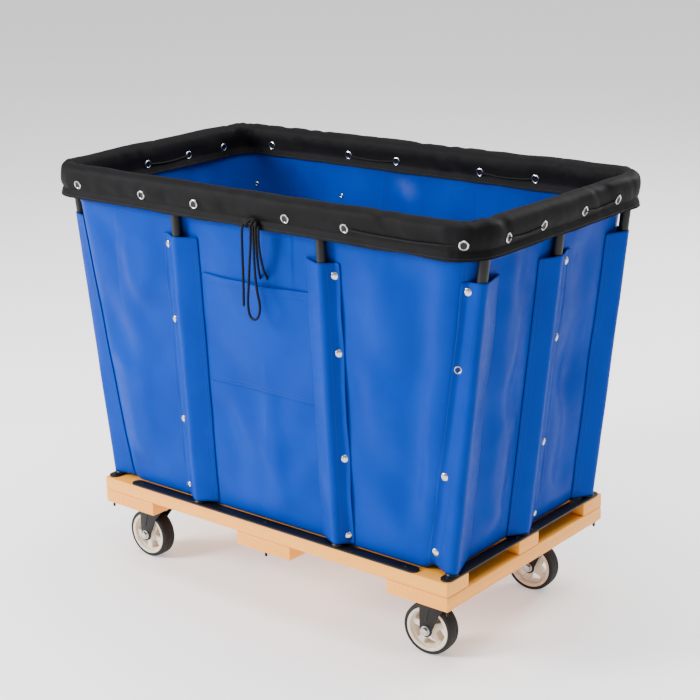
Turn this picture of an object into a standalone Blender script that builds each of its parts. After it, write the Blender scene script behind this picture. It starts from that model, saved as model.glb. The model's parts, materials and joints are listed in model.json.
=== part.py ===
"""Laundry basket truck: a vinyl liner hung in a steel frame on a boarded base with swivel casters.

Frame: origin on the floor under the middle of the cart, +X along its length, +Y to its back,
+Z up.  Units are metres.
"""
import math

import bmesh
import bpy
from mathutils import Matrix, Vector

# ---------------------------------------------------------------------------
# Driving dimensions
# ---------------------------------------------------------------------------
BASE_LENGTH = 0.864           # boards, 34 in
BASE_WIDTH = 0.514
BOARD_THICKNESS = 0.027
RUNNER_WIDTH = 0.065
CROSSBOARD_WIDTH = 0.136
BOARD_EDGE = 0.002            # eased board edges
CASTER_HEIGHT = 0.140         # floor to the underside of the boards
GAP = 0.0003                  # kept between pieces that touch

BAR_WIDTH = 0.025             # flat bars screwed to the deck
BAR_THICKNESS = 0.003
LONG_BAR_LENGTH = 0.720
END_BAR_LENGTH = 0.504

TUBE_RADIUS = 0.0095          # 3/4 in tube
UPRIGHT_INSET = 0.014         # from the board edge to an upright's axis at the deck
LONG_SIDE_UPRIGHTS = (-0.175, 0.175)
END_UPRIGHTS = (-0.225, 0.0, 0.225)

RIM_HALF_LENGTH = 0.493       # centre line of the top rail
RIM_HALF_WIDTH = 0.269
RIM_CORNER = 0.055
RIM_RISE = 0.632              # deck to the rail's centre line
ROLL_RADIUS = 0.0187          # outside of the padded rim cover
FLAP_DROP = 0.046             # rim cover's flap below the rail's centre line
COVER_THICKNESS = 0.003
INNER_FLAP_LEAN = 0.0065      # its lower edge follows the leaning liner

LINER_HALF_LENGTH = 0.4065    # liner's outside at the deck
LINER_HALF_WIDTH = 0.2315
LINER_WALL_CLEARANCE = 0.0105  # rail centre line to the liner's outside at the rim
LINER_CORNER = 0.022
LINER_THICKNESS = 0.002
LINER_ABOVE_RAIL = 0.004

SLEEVE_THICKNESS = 0.0015
SLEEVE_CLEARANCE = 0.001      # between tube and sleeve
SLEEVE_WALL_DEPTH = 0.010     # upright's axis to the sleeve's inner face
SLEEVE_SNAP_FLANGE = 0.046    # from the upright's axis to the snapped edge
SLEEVE_TAB = 0.016
SLEEVE_BOTTOM = 0.010         # above the deck
SLEEVE_TOP = 0.541

POCKET_WIDTH = 0.265
POCKET_CENTRE_X = 0.006
POCKET_BOTTOM = 0.264         # above the deck
POCKET_TOP = 0.466
POCKET_THICKNESS = 0.0015

LACE_RADIUS = 0.0015
CORD_RADIUS = 0.0023
LACE_DROP = 0.015             # below the rail's centre line
LACE_OFFSET = 0.0135          # outside the rail's centre line

WHEEL_RADIUS = 0.051          # 4 in wheel
TYRE_HALF_WIDTH = 0.016       # 1 1/4 in tread
TYRE_INNER_RADIUS = 0.0433
HUB_RIM_RADIUS = 0.0430
CASTER_TRAIL = 0.031
KINGPIN_INSET_X = 0.068
KINGPIN_INSET_Y = 0.088
FORK_HALF_GAP = 0.018
FORK_LEG = 0.003
AXLE_RADIUS = 0.005
RUNNING_CLEARANCE = 0.0003
CASTER_YAW_DEGREES = {         # how far each caster stands turned at rest
    "front_left": 1.0,
    "front_right": 5.5,
    "rear_left": 1.0,
    "rear_right": 5.5,
}

# ---------------------------------------------------------------------------
# Worked-out levels
# ---------------------------------------------------------------------------
HALF_LENGTH = BASE_LENGTH / 2
HALF_WIDTH = BASE_WIDTH / 2
DECK = CASTER_HEIGHT + 2 * BOARD_THICKNESS
RAIL_Z = DECK + RIM_RISE
ARC_STEPS = 6                 # steps in a quarter turn of the rim
ROUND_STEPS = 24              # steps round a turned piece


def clear_scene():
    for old in list(bpy.data.objects):
        bpy.data.objects.remove(old, do_unlink=True)


def new_collection(name):
    collection = bpy.data.collections.new(name)
    bpy.context.scene.collection.children.link(collection)
    return collection


def material(name, rgb, roughness, metallic=0.0):
    made = bpy.data.materials.new(name)
    made.use_nodes = True
    shader = made.node_tree.nodes["Principled BSDF"]
    shader.inputs["Base Color"].default_value = (*rgb, 1.0)
    shader.inputs["Roughness"].default_value = roughness
    shader.inputs["Metallic"].default_value = metallic
    made.diffuse_color = (*rgb, 1.0)
    return made


clear_scene()
CART = new_collection("laundry_cart")
CUTTERS = new_collection("cutters")

PINE = material("pine_board", (0.80, 0.52, 0.26), 0.55)
BLACK_STEEL = material("black_painted_steel", (0.012, 0.012, 0.013), 0.38)
BLUE_VINYL = material("blue_vinyl", (0.010, 0.130, 0.520), 0.30)
BLACK_NYLON = material("black_coated_nylon", (0.030, 0.028, 0.030), 0.62)
LACE_CORD = material("black_lace_cord", (0.010, 0.010, 0.011), 0.70)
ZINC = material("zinc_plate", (0.62, 0.66, 0.68), 0.30, 1.0)
CREAM_PLASTIC = material("cream_plastic", (0.68, 0.60, 0.50), 0.42)
BLACK_RUBBER = material("black_rubber", (0.016, 0.015, 0.015), 0.60)


# ---------------------------------------------------------------------------
# Modelling helpers
# ---------------------------------------------------------------------------
def add_object(name, data, finish, parent=None):
    made = bpy.data.objects.new(name, data)
    CART.objects.link(made)
    if finish is not None and not data.materials:
        data.materials.append(finish)
    made.parent = parent
    return made


def empty(name, location, turn=0.0, parent=None):
    made = bpy.data.objects.new(name, None)
    CART.objects.link(made)
    made.location = location
    made.rotation_euler = (0.0, 0.0, turn)
    made.parent = parent
    return made


def box_mesh(name, size):
    mesh = bpy.data.meshes.new(name)
    work = bmesh.new()
    bmesh.ops.create_cube(work, size=1.0)
    bmesh.ops.scale(work, vec=size, verts=work.verts)
    work.to_mesh(mesh)
    work.free()
    return mesh


def round_mesh(name, radius, length, sides=ROUND_STEPS):
    mesh = bpy.data.meshes.new(name)
    work = bmesh.new()
    bmesh.ops.create_cone(work, cap_ends=True, segments=sides, radius1=radius, radius2=radius,
                          depth=length)
    work.to_mesh(mesh)
    work.free()
    return mesh


def shade_round(mesh, angle=35.0):
    mesh.shade_smooth()
    mesh.set_sharp_from_angle(angle=math.radians(angle))


def bevel(target, width, segments=1):
    edge = target.modifiers.new("eased_edges", "BEVEL")
    edge.width = width
    edge.segments = segments
    edge.limit_method = "ANGLE"
    return edge


def arc(centre, radius, start, stop, steps):
    """Points on an arc, angles in degrees, both ends included."""
    points = []
    for step in range(steps + 1):
        angle = math.radians(start + (stop - start) * step / steps)
        points.append((centre[0] + radius * math.cos(angle), centre[1] + radius * math.sin(angle)))
    return points


def poly_curve(name, points, cyclic=False, dimensions="3D"):
    curve = bpy.data.curves.new(name, "CURVE")
    curve.dimensions = dimensions
    spline = curve.splines.new("POLY")
    spline.points.add(len(points) - 1)
    for slot, point in zip(spline.points, points):
        x, y, z = (*point, 0.0)[:3]
        slot.co = (x, y, z, 1.0)
    spline.use_cyclic_u = cyclic
    return curve


def flat_outline(name, outline, thickness):
    """A closed outline in its own XY plane, given a thickness along its Z."""
    curve = poly_curve(name, outline, cyclic=True, dimensions="2D")
    curve.fill_mode = "BOTH"
    curve.extrude = thickness / 2
    return curve


def tube_curve(name, points, radius, resolution, cyclic=False):
    curve = poly_curve(name, points, cyclic)
    curve.bevel_depth = radius
    curve.bevel_resolution = resolution
    curve.use_fill_caps = not cyclic
    return curve


def smooth_route(points, spacing):
    """Catmull-Rom curve through the points, read about every spacing."""
    path = [Vector(point) for point in points]
    path = [2 * path[0] - path[1]] + path + [2 * path[-1] - path[-2]]
    read = []
    for i in range(1, len(path) - 2):
        a, b, c, d = path[i - 1:i + 3]
        steps = max(1, round((c - b).length / spacing))
        for step in range(steps):
            t = step / steps
            read.append(0.5 * (2 * b + (c - a) * t + (2 * a - 5 * b + 4 * c - d) * t * t
                               + (3 * b - a - 3 * c + d) * t ** 3))
    read.append(path[-2])
    return read


def rounded_rectangle(half_x, half_y, corner, z):
    x = half_x - corner
    y = half_y - corner
    points = []
    for centre, start in (((x, -y), -90), ((x, y), 0), ((-x, y), 90), ((-x, -y), 180)):
        points += arc(centre, corner, start, start + 90, ARC_STEPS)
    return [(px, py, z) for px, py in points]


def rim_ring(offset, z):
    """The rim's rounded rectangle, grown by offset, at height z."""
    return rounded_rectangle(RIM_HALF_LENGTH + offset, RIM_HALF_WIDTH + offset, RIM_CORNER + offset, z)


def turned_mesh(name, profile, steps=ROUND_STEPS):
    """A closed (radius, height) profile turned about Z; its outer side runs top to bottom."""
    mesh = bpy.data.meshes.new(name)
    work = bmesh.new()
    ring = [work.verts.new((radius, 0.0, height)) for radius, height in profile]
    for start, end in zip(ring, ring[1:] + ring[:1]):
        work.edges.new((start, end))
    work.to_mesh(mesh)
    work.free()
    holder = bpy.data.objects.new(name + "_profile", mesh)
    CUTTERS.objects.link(holder)
    screw = holder.modifiers.new("turn", "SCREW")
    screw.steps = steps
    screw.render_steps = steps
    screw.use_merge_vertices = True
    screw.merge_threshold = 0.00001
    return finished_mesh(holder, name)


def finished_mesh(holder, name):
    """The object's shape with its modifiers and placing applied; the object is removed."""
    graph = bpy.context.evaluated_depsgraph_get()
    mesh = bpy.data.meshes.new_from_object(holder.evaluated_get(graph))
    mesh.transform(holder.matrix_world)
    work = bmesh.new()
    work.from_mesh(mesh)
    bmesh.ops.remove_doubles(work, verts=work.verts, dist=0.00001)
    work.to_mesh(mesh)
    work.free()
    bpy.data.objects.remove(holder, do_unlink=True)
    mesh.name = name
    return mesh


def helper(name, data, matrix=None):
    made = bpy.data.objects.new(name, data)
    CUTTERS.objects.link(made)
    made.hide_render = True
    made.display_type = "WIRE"
    if matrix is not None:
        made.matrix_world = matrix
    bpy.context.view_layer.update()
    return made


def combined_mesh(name, base, additions=(), cuts=()):
    """Join the additions to the base mesh, then take the cuts away."""
    body = helper(name + "_body", base)
    used = []
    for operation, meshes in (("UNION", additions), ("DIFFERENCE", cuts)):
        for tool in meshes:
            other = helper(name + "_tool", tool)
            step = body.modifiers.new(operation.lower(), "BOOLEAN")
            step.operation = operation
            step.object = other
            used.append(other)
    bpy.context.view_layer.update()
    mesh = finished_mesh(body, name)
    for other in used:
        bpy.data.objects.remove(other, do_unlink=True)
    return mesh


def moved(mesh, location=(0, 0, 0), turn=None):
    matrix = Matrix.Translation(location)
    if turn is not None:
        matrix = matrix @ turn
    mesh.transform(matrix)
    return mesh


def as_mesh(curve, matrix=None):
    return finished_mesh(helper(curve.name + "_shape", curve, matrix), curve.name)


# ---------------------------------------------------------------------------
# Boarded base
# ---------------------------------------------------------------------------
def board(name, centre, size):
    made = add_object(name, box_mesh(name, size), PINE)
    made.location = centre
    bevel(made, BOARD_EDGE)


def build_boards():
    runner_size = (BASE_LENGTH, RUNNER_WIDTH, BOARD_THICKNESS - GAP)
    runner_z = DECK - (BOARD_THICKNESS - GAP) / 2
    outer_y = HALF_WIDTH - RUNNER_WIDTH / 2
    for name, y in (("front_runner", -outer_y), ("middle_runner", 0.0), ("rear_runner", outer_y)):
        board(name, (0.0, y, runner_z), runner_size)
    cross_size = (CROSSBOARD_WIDTH, BASE_WIDTH, BOARD_THICKNESS)
    cross_z = CASTER_HEIGHT + BOARD_THICKNESS / 2
    outer_x = HALF_LENGTH - CROSSBOARD_WIDTH / 2
    for name, x in (("left_crossboard", -outer_x), ("middle_crossboard", 0.0), ("right_crossboard", outer_x)):
        board(name, (x, 0.0, cross_z - GAP / 2), cross_size)


# ---------------------------------------------------------------------------
# Steel frame
# ---------------------------------------------------------------------------
def flat_bar(name, centre, length, along_y):
    """A flat bar with half-round ends, lying on the deck."""
    reach = length / 2 - BAR_WIDTH / 2
    outline = arc((reach, 0.0), BAR_WIDTH / 2, -90, 90, 8) + arc((-reach, 0.0), BAR_WIDTH / 2, 90, 270, 8)
    made = add_object(name, flat_outline(name, outline, BAR_THICKNESS), BLACK_STEEL)
    made.location = (*centre, DECK + GAP + BAR_THICKNESS / 2)
    made.rotation_euler = (0.0, 0.0, math.pi / 2 if along_y else 0.0)


def build_base_bars():
    y = HALF_WIDTH - BAR_WIDTH / 2
    x = HALF_LENGTH - BAR_WIDTH / 2
    flat_bar("front_base_bar", (0.0, -y), LONG_BAR_LENGTH, False)
    flat_bar("rear_base_bar", (0.0, y), LONG_BAR_LENGTH, False)
    flat_bar("left_base_bar", (-x, 0.0), END_BAR_LENGTH, True)
    flat_bar("right_base_bar", (x, 0.0), END_BAR_LENGTH, True)


def upright_places():
    """Name, foot, point under the rail, outward direction, and the snapped side along the wall."""
    places = []
    for side, sign in (("front", -1), ("rear", 1)):
        for end, x in zip(("left", "right"), LONG_SIDE_UPRIGHTS):
            foot = Vector((x, sign * (HALF_WIDTH - UPRIGHT_INSET), DECK))
            head = Vector((x, sign * RIM_HALF_WIDTH, RAIL_Z))
            snap_side = Vector((math.copysign(1, x), 0, 0))
            places.append((f"{side}_{end}", foot, head, Vector((0, sign, 0)), snap_side))
    for end, sign in (("left", -1), ("right", 1)):
        for side, y in zip(("front", "middle", "rear"), END_UPRIGHTS):
            foot = Vector((sign * (HALF_LENGTH - UPRIGHT_INSET), y, DECK))
            head = Vector((sign * RIM_HALF_LENGTH, y, RAIL_Z))
            snap_side = Vector((0, -1 if end == "right" and side == "front" else 1, 0))
            places.append((f"{end}_{side}", foot, head, Vector((sign, 0, 0)), snap_side))
    return places


def point_at_height(foot, head, height):
    return foot.lerp(head, (height - foot.z) / (head.z - foot.z))


def build_uprights():
    end_allowance = 0.0015      # the square-cut ends of a leaning tube
    bottom = DECK + 2 * GAP + BAR_THICKNESS + end_allowance
    top = RAIL_Z - TUBE_RADIUS - end_allowance
    for name, foot, head, _outward, _snap in upright_places():
        low = point_at_height(foot, head, bottom)
        high = point_at_height(foot, head, top)
        mesh = round_mesh(name, TUBE_RADIUS, (high - low).length, sides=16)
        shade_round(mesh)
        made = add_object(name + "_upright", mesh, BLACK_STEEL)
        made.location = (low + high) / 2
        made.rotation_mode = "QUATERNION"
        made.rotation_quaternion = (high - low).to_track_quat("Z", "Y")


def build_top_rail():
    rail = tube_curve("top_rail", rim_ring(0.0, RAIL_Z), TUBE_RADIUS, 4, cyclic=True)
    add_object("top_rail", rail, BLACK_STEEL)


# ---------------------------------------------------------------------------
# Liner, sleeves, pocket and rim cover
# ---------------------------------------------------------------------------
def wall_half_width(height):
    """Half width of the liner's outside, across the cart, at a height above the deck."""
    share = height / (RIM_RISE + LINER_ABOVE_RAIL)
    return LINER_HALF_WIDTH + (RIM_HALF_WIDTH - LINER_WALL_CLEARANCE - LINER_HALF_WIDTH) * share


def build_liner():
    """Walls lofted from the tight-cornered floor outline to the rim's rounder one, and a flat floor."""
    floor = rounded_rectangle(LINER_HALF_LENGTH, LINER_HALF_WIDTH, LINER_CORNER, DECK + GAP)
    mouth = rounded_rectangle(RIM_HALF_LENGTH - LINER_WALL_CLEARANCE, RIM_HALF_WIDTH - LINER_WALL_CLEARANCE,
                              RIM_CORNER - LINER_WALL_CLEARANCE, RAIL_Z + LINER_ABOVE_RAIL)
    mesh = bpy.data.meshes.new("vinyl_liner")
    work = bmesh.new()
    rings = []
    for outline in (floor, mouth):
        verts = [work.verts.new(point) for point in outline]
        rings.append([work.edges.new(pair) for pair in zip(verts, verts[1:] + verts[:1])])
    bmesh.ops.bridge_loops(work, edges=rings[0] + rings[1])
    bmesh.ops.recalc_face_normals(work, faces=work.faces)
    work.to_mesh(mesh)
    work.free()
    liner = add_object("vinyl_liner", mesh, BLUE_VINYL)
    wall = liner.modifiers.new("wall", "SOLIDIFY")
    wall.thickness = LINER_THICKNESS
    wall.offset = -1.0
    inset = LINER_THICKNESS + 2 * GAP
    outline = rounded_rectangle(LINER_HALF_LENGTH - inset, LINER_HALF_WIDTH - inset, LINER_CORNER - inset, 0.0)
    panel = add_object("liner_floor", flat_outline("liner_floor", outline, LINER_THICKNESS), BLUE_VINYL)
    panel.location.z = DECK + GAP + LINER_THICKNESS / 2


def sleeve_outline(snap_sign):
    """Section of a sleeve: +Y is outwards, the upright's axis at the origin."""
    inner = TUBE_RADIUS + SLEEVE_CLEARANCE
    outer = inner + SLEEVE_THICKNESS
    back = -SLEEVE_WALL_DEPTH
    front = back + SLEEVE_THICKNESS
    outline = [(SLEEVE_SNAP_FLANGE, back), (SLEEVE_SNAP_FLANGE, front), (outer, front)]
    outline += arc((0.0, 0.0), outer, 0, 180, 8)
    outline += [(-outer, front), (-SLEEVE_TAB, front), (-SLEEVE_TAB, back), (-inner, back)]
    outline += arc((0.0, 0.0), inner, 180, 0, 8)
    outline += [(inner, back)]
    return [(snap_sign * x, y) for x, y in outline]


def build_sleeves():
    for name, foot, head, outward, snap_side in upright_places():
        low = point_at_height(foot, head, DECK + SLEEVE_BOTTOM)
        high = point_at_height(foot, head, DECK + SLEEVE_TOP)
        up = (high - low).normalized()
        across = outward.cross(up).normalized()
        out = up.cross(across)
        snap_sign = 1 if across.dot(snap_side) > 0 else -1
        curve = flat_outline(name + "_sleeve", sleeve_outline(snap_sign), (high - low).length)
        made = add_object(name + "_sleeve", curve, BLUE_VINYL)
        turn = Matrix((across, out, up)).transposed().to_4x4()
        made.matrix_world = Matrix.Translation((low + high) / 2) @ turn


def build_pocket():
    height = (POCKET_BOTTOM + POCKET_TOP) / 2
    standoff = 2 * GAP + POCKET_THICKNESS / 2
    spread = wall_half_width(POCKET_TOP) - wall_half_width(POCKET_BOTTOM)
    lean = math.atan2(spread, POCKET_TOP - POCKET_BOTTOM)
    size = (POCKET_WIDTH, POCKET_THICKNESS, POCKET_TOP - POCKET_BOTTOM)
    made = add_object("front_pocket", box_mesh("front_pocket", size), BLUE_VINYL)
    made.location = (POCKET_CENTRE_X, -wall_half_width(height) - standoff, DECK + height)
    made.rotation_euler = (lean, 0.0, 0.0)


def build_rim_cover():
    """An upside-down channel swept round the rail: padded roll on top, a flap down each side."""
    middle = ROLL_RADIUS - COVER_THICKNESS / 2
    section = [(middle, -FLAP_DROP)] + arc((0.0, 0.0), middle, 0, 180, 8)
    section += [(-middle - INNER_FLAP_LEAN, -FLAP_DROP)]
    profile = bpy.data.objects.new("cover_section", poly_curve("cover_section", section, dimensions="2D"))
    CUTTERS.objects.link(profile)
    profile.hide_render = True
    curve = poly_curve("rim_cover", rim_ring(0.0, RAIL_Z), cyclic=True)
    curve.twist_mode = "Z_UP"
    curve.bevel_mode = "OBJECT"
    curve.bevel_object = profile
    cover = add_object("rim_cover", curve, BLACK_NYLON)
    wall = cover.modifiers.new("fabric", "SOLIDIFY")
    wall.thickness = COVER_THICKNESS
    wall.offset = 0.0


# ---------------------------------------------------------------------------
# Lace and its bow
# ---------------------------------------------------------------------------
CORD_Y = -(RIM_HALF_WIDTH + ROLL_RADIUS + CORD_RADIUS + 0.0012)
KNOT_CENTRE = (0.0345, -(RIM_HALF_WIDTH + ROLL_RADIUS + 0.0053), 0.7935)
TAIL_ROUTE = [
    (0.0165, CORD_Y, 0.7850), (0.0135, CORD_Y, 0.7760), (0.0124, CORD_Y, 0.7509),
    (0.0118, CORD_Y, 0.7019), (0.0114, CORD_Y, 0.6689), (0.0102, CORD_Y, 0.6373),
]
LOOP_ROUTE = [
    (0.0345, CORD_Y, 0.7832), (0.0329, CORD_Y, 0.7537), (0.0290, CORD_Y, 0.7207),
    (0.0245, CORD_Y, 0.6792), (0.0208, CORD_Y, 0.6440), (0.0228, CORD_Y, 0.6240),
    (0.0285, CORD_Y, 0.6160), (0.0355, CORD_Y, 0.6140), (0.0430, CORD_Y, 0.6190),
    (0.0480, CORD_Y, 0.6300), (0.0490, CORD_Y, 0.6440), (0.0446, CORD_Y, 0.6658),
    (0.0416, CORD_Y, 0.6899), (0.0402, CORD_Y, 0.7222), (0.0402, CORD_Y, 0.7545),
    (0.0405, CORD_Y, 0.7832),
]
TUCKED_ROUTE = [
    (0.0463, CORD_Y, 0.7835), (0.0462, CORD_Y, 0.7560), (0.0420, -0.2850, 0.7300),
    (0.0330, -0.2730, 0.7020), (0.0250, -0.2610, 0.6850), (0.0232, -0.2560, 0.6745),
    (0.0260, -0.2545, 0.6678), (0.0325, -0.2545, 0.6650), (0.0390, -0.2545, 0.6678),
    (0.0418, -0.2560, 0.6745), (0.0425, -0.2610, 0.6850), (0.0455, -0.2730, 0.7020),
    (0.0500, -0.2850, 0.7300), (0.0525, CORD_Y, 0.7560), (0.0528, CORD_Y, 0.7835),
]


def build_lace():
    knot_half_axes = (0.0185, 0.0042, 0.0070)
    point_spacing = 0.0065
    ring = rim_ring(LACE_OFFSET, RAIL_Z - LACE_DROP)
    add_object("rim_lace", tube_curve("rim_lace", ring, LACE_RADIUS, 2, cyclic=True), LACE_CORD)
    knot = bpy.data.meshes.new("drawstring_knot")
    work = bmesh.new()
    bmesh.ops.create_uvsphere(work, u_segments=12, v_segments=8, radius=1.0)
    bmesh.ops.scale(work, vec=knot_half_axes, verts=work.verts)
    work.to_mesh(knot)
    work.free()
    shade_round(knot)
    add_object("drawstring_knot", knot, LACE_CORD).location = KNOT_CENTRE
    for name, route in (("tail", TAIL_ROUTE), ("loop", LOOP_ROUTE), ("tucked_loop", TUCKED_ROUTE)):
        path = smooth_route(route, point_spacing)
        add_object(f"drawstring_{name}", tube_curve(f"drawstring_{name}", path, CORD_RADIUS, 2), LACE_CORD)


# ---------------------------------------------------------------------------
# Casters
# ---------------------------------------------------------------------------
ABOUT_Y = Matrix.Rotation(math.pi / 2, 4, "X")     # turns a Z axis onto the wheel's axis

PLATE_SIZE = (0.095, 0.067, 0.003)
PLATE_TOP = CASTER_HEIGHT - 2 * GAP
RACE_RADIUS = 0.025
RACE_BOTTOM = 0.1310
CROWN_TOP = RACE_BOTTOM - GAP
CROWN_BOTTOM = 0.1250
KINGPIN_RADIUS = 0.006
KINGPIN_HEAD_RADIUS = 0.009
KINGPIN_HEAD_BOTTOM = 0.1197
WASHER_RADIUS = 0.0095
HEX_RADIUS = 0.0081


def cylinder_between(name, radius, low, high, sides=ROUND_STEPS):
    """A cylinder about Z from one height to another."""
    return moved(round_mesh(name, radius, high - low, sides), (0, 0, (low + high) / 2))


def caster_plate_mesh():
    plate = moved(box_mesh("caster_plate", PLATE_SIZE), (0, 0, PLATE_TOP - PLATE_SIZE[2] / 2))
    race = cylinder_between("race", RACE_RADIUS, RACE_BOTTOM, PLATE_TOP - PLATE_SIZE[2] + GAP)
    kingpin = cylinder_between("kingpin", KINGPIN_RADIUS, KINGPIN_HEAD_BOTTOM + GAP, RACE_BOTTOM + GAP, 16)
    head = cylinder_between("kingpin_head", KINGPIN_HEAD_RADIUS, KINGPIN_HEAD_BOTTOM, CROWN_BOTTOM - GAP, 16)
    return combined_mesh("caster_plate", plate, (race, kingpin, head))


def fork_mesh():
    """Two tapering legs under a crown: the side outline is cut through by the wheel's slot."""
    half = FORK_HALF_GAP + FORK_LEG
    axle_eye = 0.0130
    outline = [(0.020, CROWN_TOP), (-0.030, CROWN_TOP), (-0.041, 0.116), (-0.044, 0.104)]
    outline += arc((-CASTER_TRAIL, WHEEL_RADIUS), axle_eye, -180, 5, 10)
    outline += [(-0.004, 0.086), (0.019, 0.114)]
    blank = as_mesh(flat_outline("fork", outline, 2 * half), Matrix.Rotation(math.pi / 2, 4, "X"))
    disc = cylinder_between("crown", 0.024, CROWN_BOTTOM + GAP, CROWN_TOP)
    slot_size = (4 * WHEEL_RADIUS, 2 * FORK_HALF_GAP, CROWN_BOTTOM)
    slot = moved(box_mesh("slot", slot_size), (0, 0, CROWN_BOTTOM / 2))
    pin_radius = KINGPIN_RADIUS + RUNNING_CLEARANCE
    pin_hole = cylinder_between("pin_hole", pin_radius, CROWN_BOTTOM - half, CASTER_HEIGHT, 16)
    axle_hole = moved(round_mesh("axle_hole", AXLE_RADIUS + RUNNING_CLEARANCE, 4 * half, 16),
                      (-CASTER_TRAIL, 0, WHEEL_RADIUS), ABOUT_Y)
    return combined_mesh("caster_fork", blank, (disc,), (slot, pin_hole, axle_hole))


def axle_mesh():
    """Bolt through the fork: head at the front, nut at the back, a washer under each."""
    outer = FORK_HALF_GAP + FORK_LEG + GAP
    washer = 0.0015
    head = 0.0060
    nut = 0.0080
    tip = 0.0040
    shank_low = -(outer + washer + nut + tip)
    shank = cylinder_between("shank", AXLE_RADIUS, shank_low, outer + washer + head / 2, 16)
    pieces = []
    for sign, size in ((1, head), (-1, nut)):
        near, far = sorted((sign * outer, sign * (outer + washer)))
        pieces.append(cylinder_between("washer", WASHER_RADIUS, near, far, 20))
        near, far = sorted((sign * (outer + washer - GAP), sign * (outer + washer + size)))
        pieces.append(cylinder_between("hex", HEX_RADIUS, near, far, 6))
    return moved(combined_mesh("caster_axle", shank, pieces), (0, 0, 0), ABOUT_Y)


def hub_mesh():
    bore = AXLE_RADIUS + RUNNING_CLEARANCE
    boss, boss_half = 0.0130, 0.0165
    web_half = 0.0045
    rim_inner, rim_half = 0.0355, 0.0150
    half = [(boss, boss_half), (boss + 0.001, web_half), (rim_inner, web_half),
            (rim_inner + 0.001, rim_half), (HUB_RIM_RADIUS, rim_half)]
    profile = [(bore, boss_half)] + half + [(r, -z) for r, z in reversed(half)] + [(bore, -boss_half)]
    mesh = turned_mesh("caster_hub", profile)
    return moved(mesh, (0, 0, 0), ABOUT_Y)


def tyre_mesh():
    shoulder = 0.0050
    top = arc((WHEEL_RADIUS - shoulder, TYRE_HALF_WIDTH - shoulder), shoulder, 90, 0, 4)
    bottom = arc((WHEEL_RADIUS - shoulder, shoulder - TYRE_HALF_WIDTH), shoulder, 0, -90, 4)
    profile = [(TYRE_INNER_RADIUS, TYRE_HALF_WIDTH)] + top + bottom + [(TYRE_INNER_RADIUS, -TYRE_HALF_WIDTH)]
    return moved(turned_mesh("caster_tyre", profile), (0, 0, 0), ABOUT_Y)


def build_casters():
    plate, fork, axle, hub, tyre = caster_plate_mesh(), fork_mesh(), axle_mesh(), hub_mesh(), tyre_mesh()
    for mesh, finish in ((plate, BLACK_STEEL), (fork, BLACK_STEEL), (axle, ZINC), (hub, CREAM_PLASTIC),
                         (tyre, BLACK_RUBBER)):
        mesh.materials.clear()
        mesh.materials.append(finish)
        shade_round(mesh)
    x = HALF_LENGTH - KINGPIN_INSET_X
    y = HALF_WIDTH - KINGPIN_INSET_Y
    corners = {"front_left": (-x, -y), "front_right": (x, -y), "rear_left": (-x, y), "rear_right": (x, y)}
    for corner, (px, py) in corners.items():
        swivel = empty(f"{corner}_swivel_axis", (px, py, 0.0), math.radians(CASTER_YAW_DEGREES[corner]))
        spin = empty(f"{corner}_wheel_axis", (-CASTER_TRAIL, 0.0, WHEEL_RADIUS), parent=swivel)
        add_object(f"{corner}_caster_plate", plate, BLACK_STEEL).location = (px, py, 0.0)
        add_object(f"{corner}_caster_fork", fork, BLACK_STEEL, swivel)
        add_object(f"{corner}_caster_axle", axle, ZINC, spin)
        add_object(f"{corner}_wheel_hub", hub, CREAM_PLASTIC, spin)
        add_object(f"{corner}_tyre", tyre, BLACK_RUBBER, spin)


build_boards()
build_base_bars()
build_uprights()
build_top_rail()
build_liner()
build_sleeves()
build_pocket()
build_rim_cover()
build_lace()
build_casters()
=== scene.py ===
"""Looks of a laundry basket truck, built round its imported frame.

A vinyl liner hangs in a black steel frame on a pine base with swivel casters; a laced nylon
cover is rolled over the rim.  Metres, +X along the length, +Y to the back, +Z up.
"""

import json
import math
import random

import bmesh
import bpy
import numpy as np
from mathutils import Matrix, Vector, noise
from mathutils.bvhtree import BVHTree
from mathutils.geometry import convex_hull_2d

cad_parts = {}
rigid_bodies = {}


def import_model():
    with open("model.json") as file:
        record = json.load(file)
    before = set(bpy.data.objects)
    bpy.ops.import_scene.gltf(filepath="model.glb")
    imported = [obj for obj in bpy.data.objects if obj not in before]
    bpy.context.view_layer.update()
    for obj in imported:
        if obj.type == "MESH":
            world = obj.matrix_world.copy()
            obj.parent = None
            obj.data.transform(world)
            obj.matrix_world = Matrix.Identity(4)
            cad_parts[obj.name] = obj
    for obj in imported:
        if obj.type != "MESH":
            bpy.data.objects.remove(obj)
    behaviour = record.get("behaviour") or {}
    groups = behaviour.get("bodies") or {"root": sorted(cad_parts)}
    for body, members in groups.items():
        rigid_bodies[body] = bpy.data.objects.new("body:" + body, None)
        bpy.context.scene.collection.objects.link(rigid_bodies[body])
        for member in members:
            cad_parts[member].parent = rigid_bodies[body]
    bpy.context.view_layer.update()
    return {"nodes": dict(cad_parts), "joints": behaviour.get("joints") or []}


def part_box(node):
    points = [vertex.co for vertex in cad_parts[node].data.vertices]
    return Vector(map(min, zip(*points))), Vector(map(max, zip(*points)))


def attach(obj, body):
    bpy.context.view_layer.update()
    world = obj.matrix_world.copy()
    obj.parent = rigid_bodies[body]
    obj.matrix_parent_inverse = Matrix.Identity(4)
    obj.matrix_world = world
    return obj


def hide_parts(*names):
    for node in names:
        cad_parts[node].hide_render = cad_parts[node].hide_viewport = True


for old in list(bpy.data.objects):
    bpy.data.objects.remove(old, do_unlink=True)
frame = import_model()

MM = 0.001
CORNERS = ("front_left", "front_right", "rear_left", "rear_right")
BLUE_THREAD_PITCH = 5.0 * MM
UP = Vector((0, 0, 1))


# ---------------------------------------------------------------------------
# Sizes read from the frame
# ---------------------------------------------------------------------------
def node_points(node):
    return np.array([v.co for v in frame["nodes"][node].data.vertices])


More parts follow.
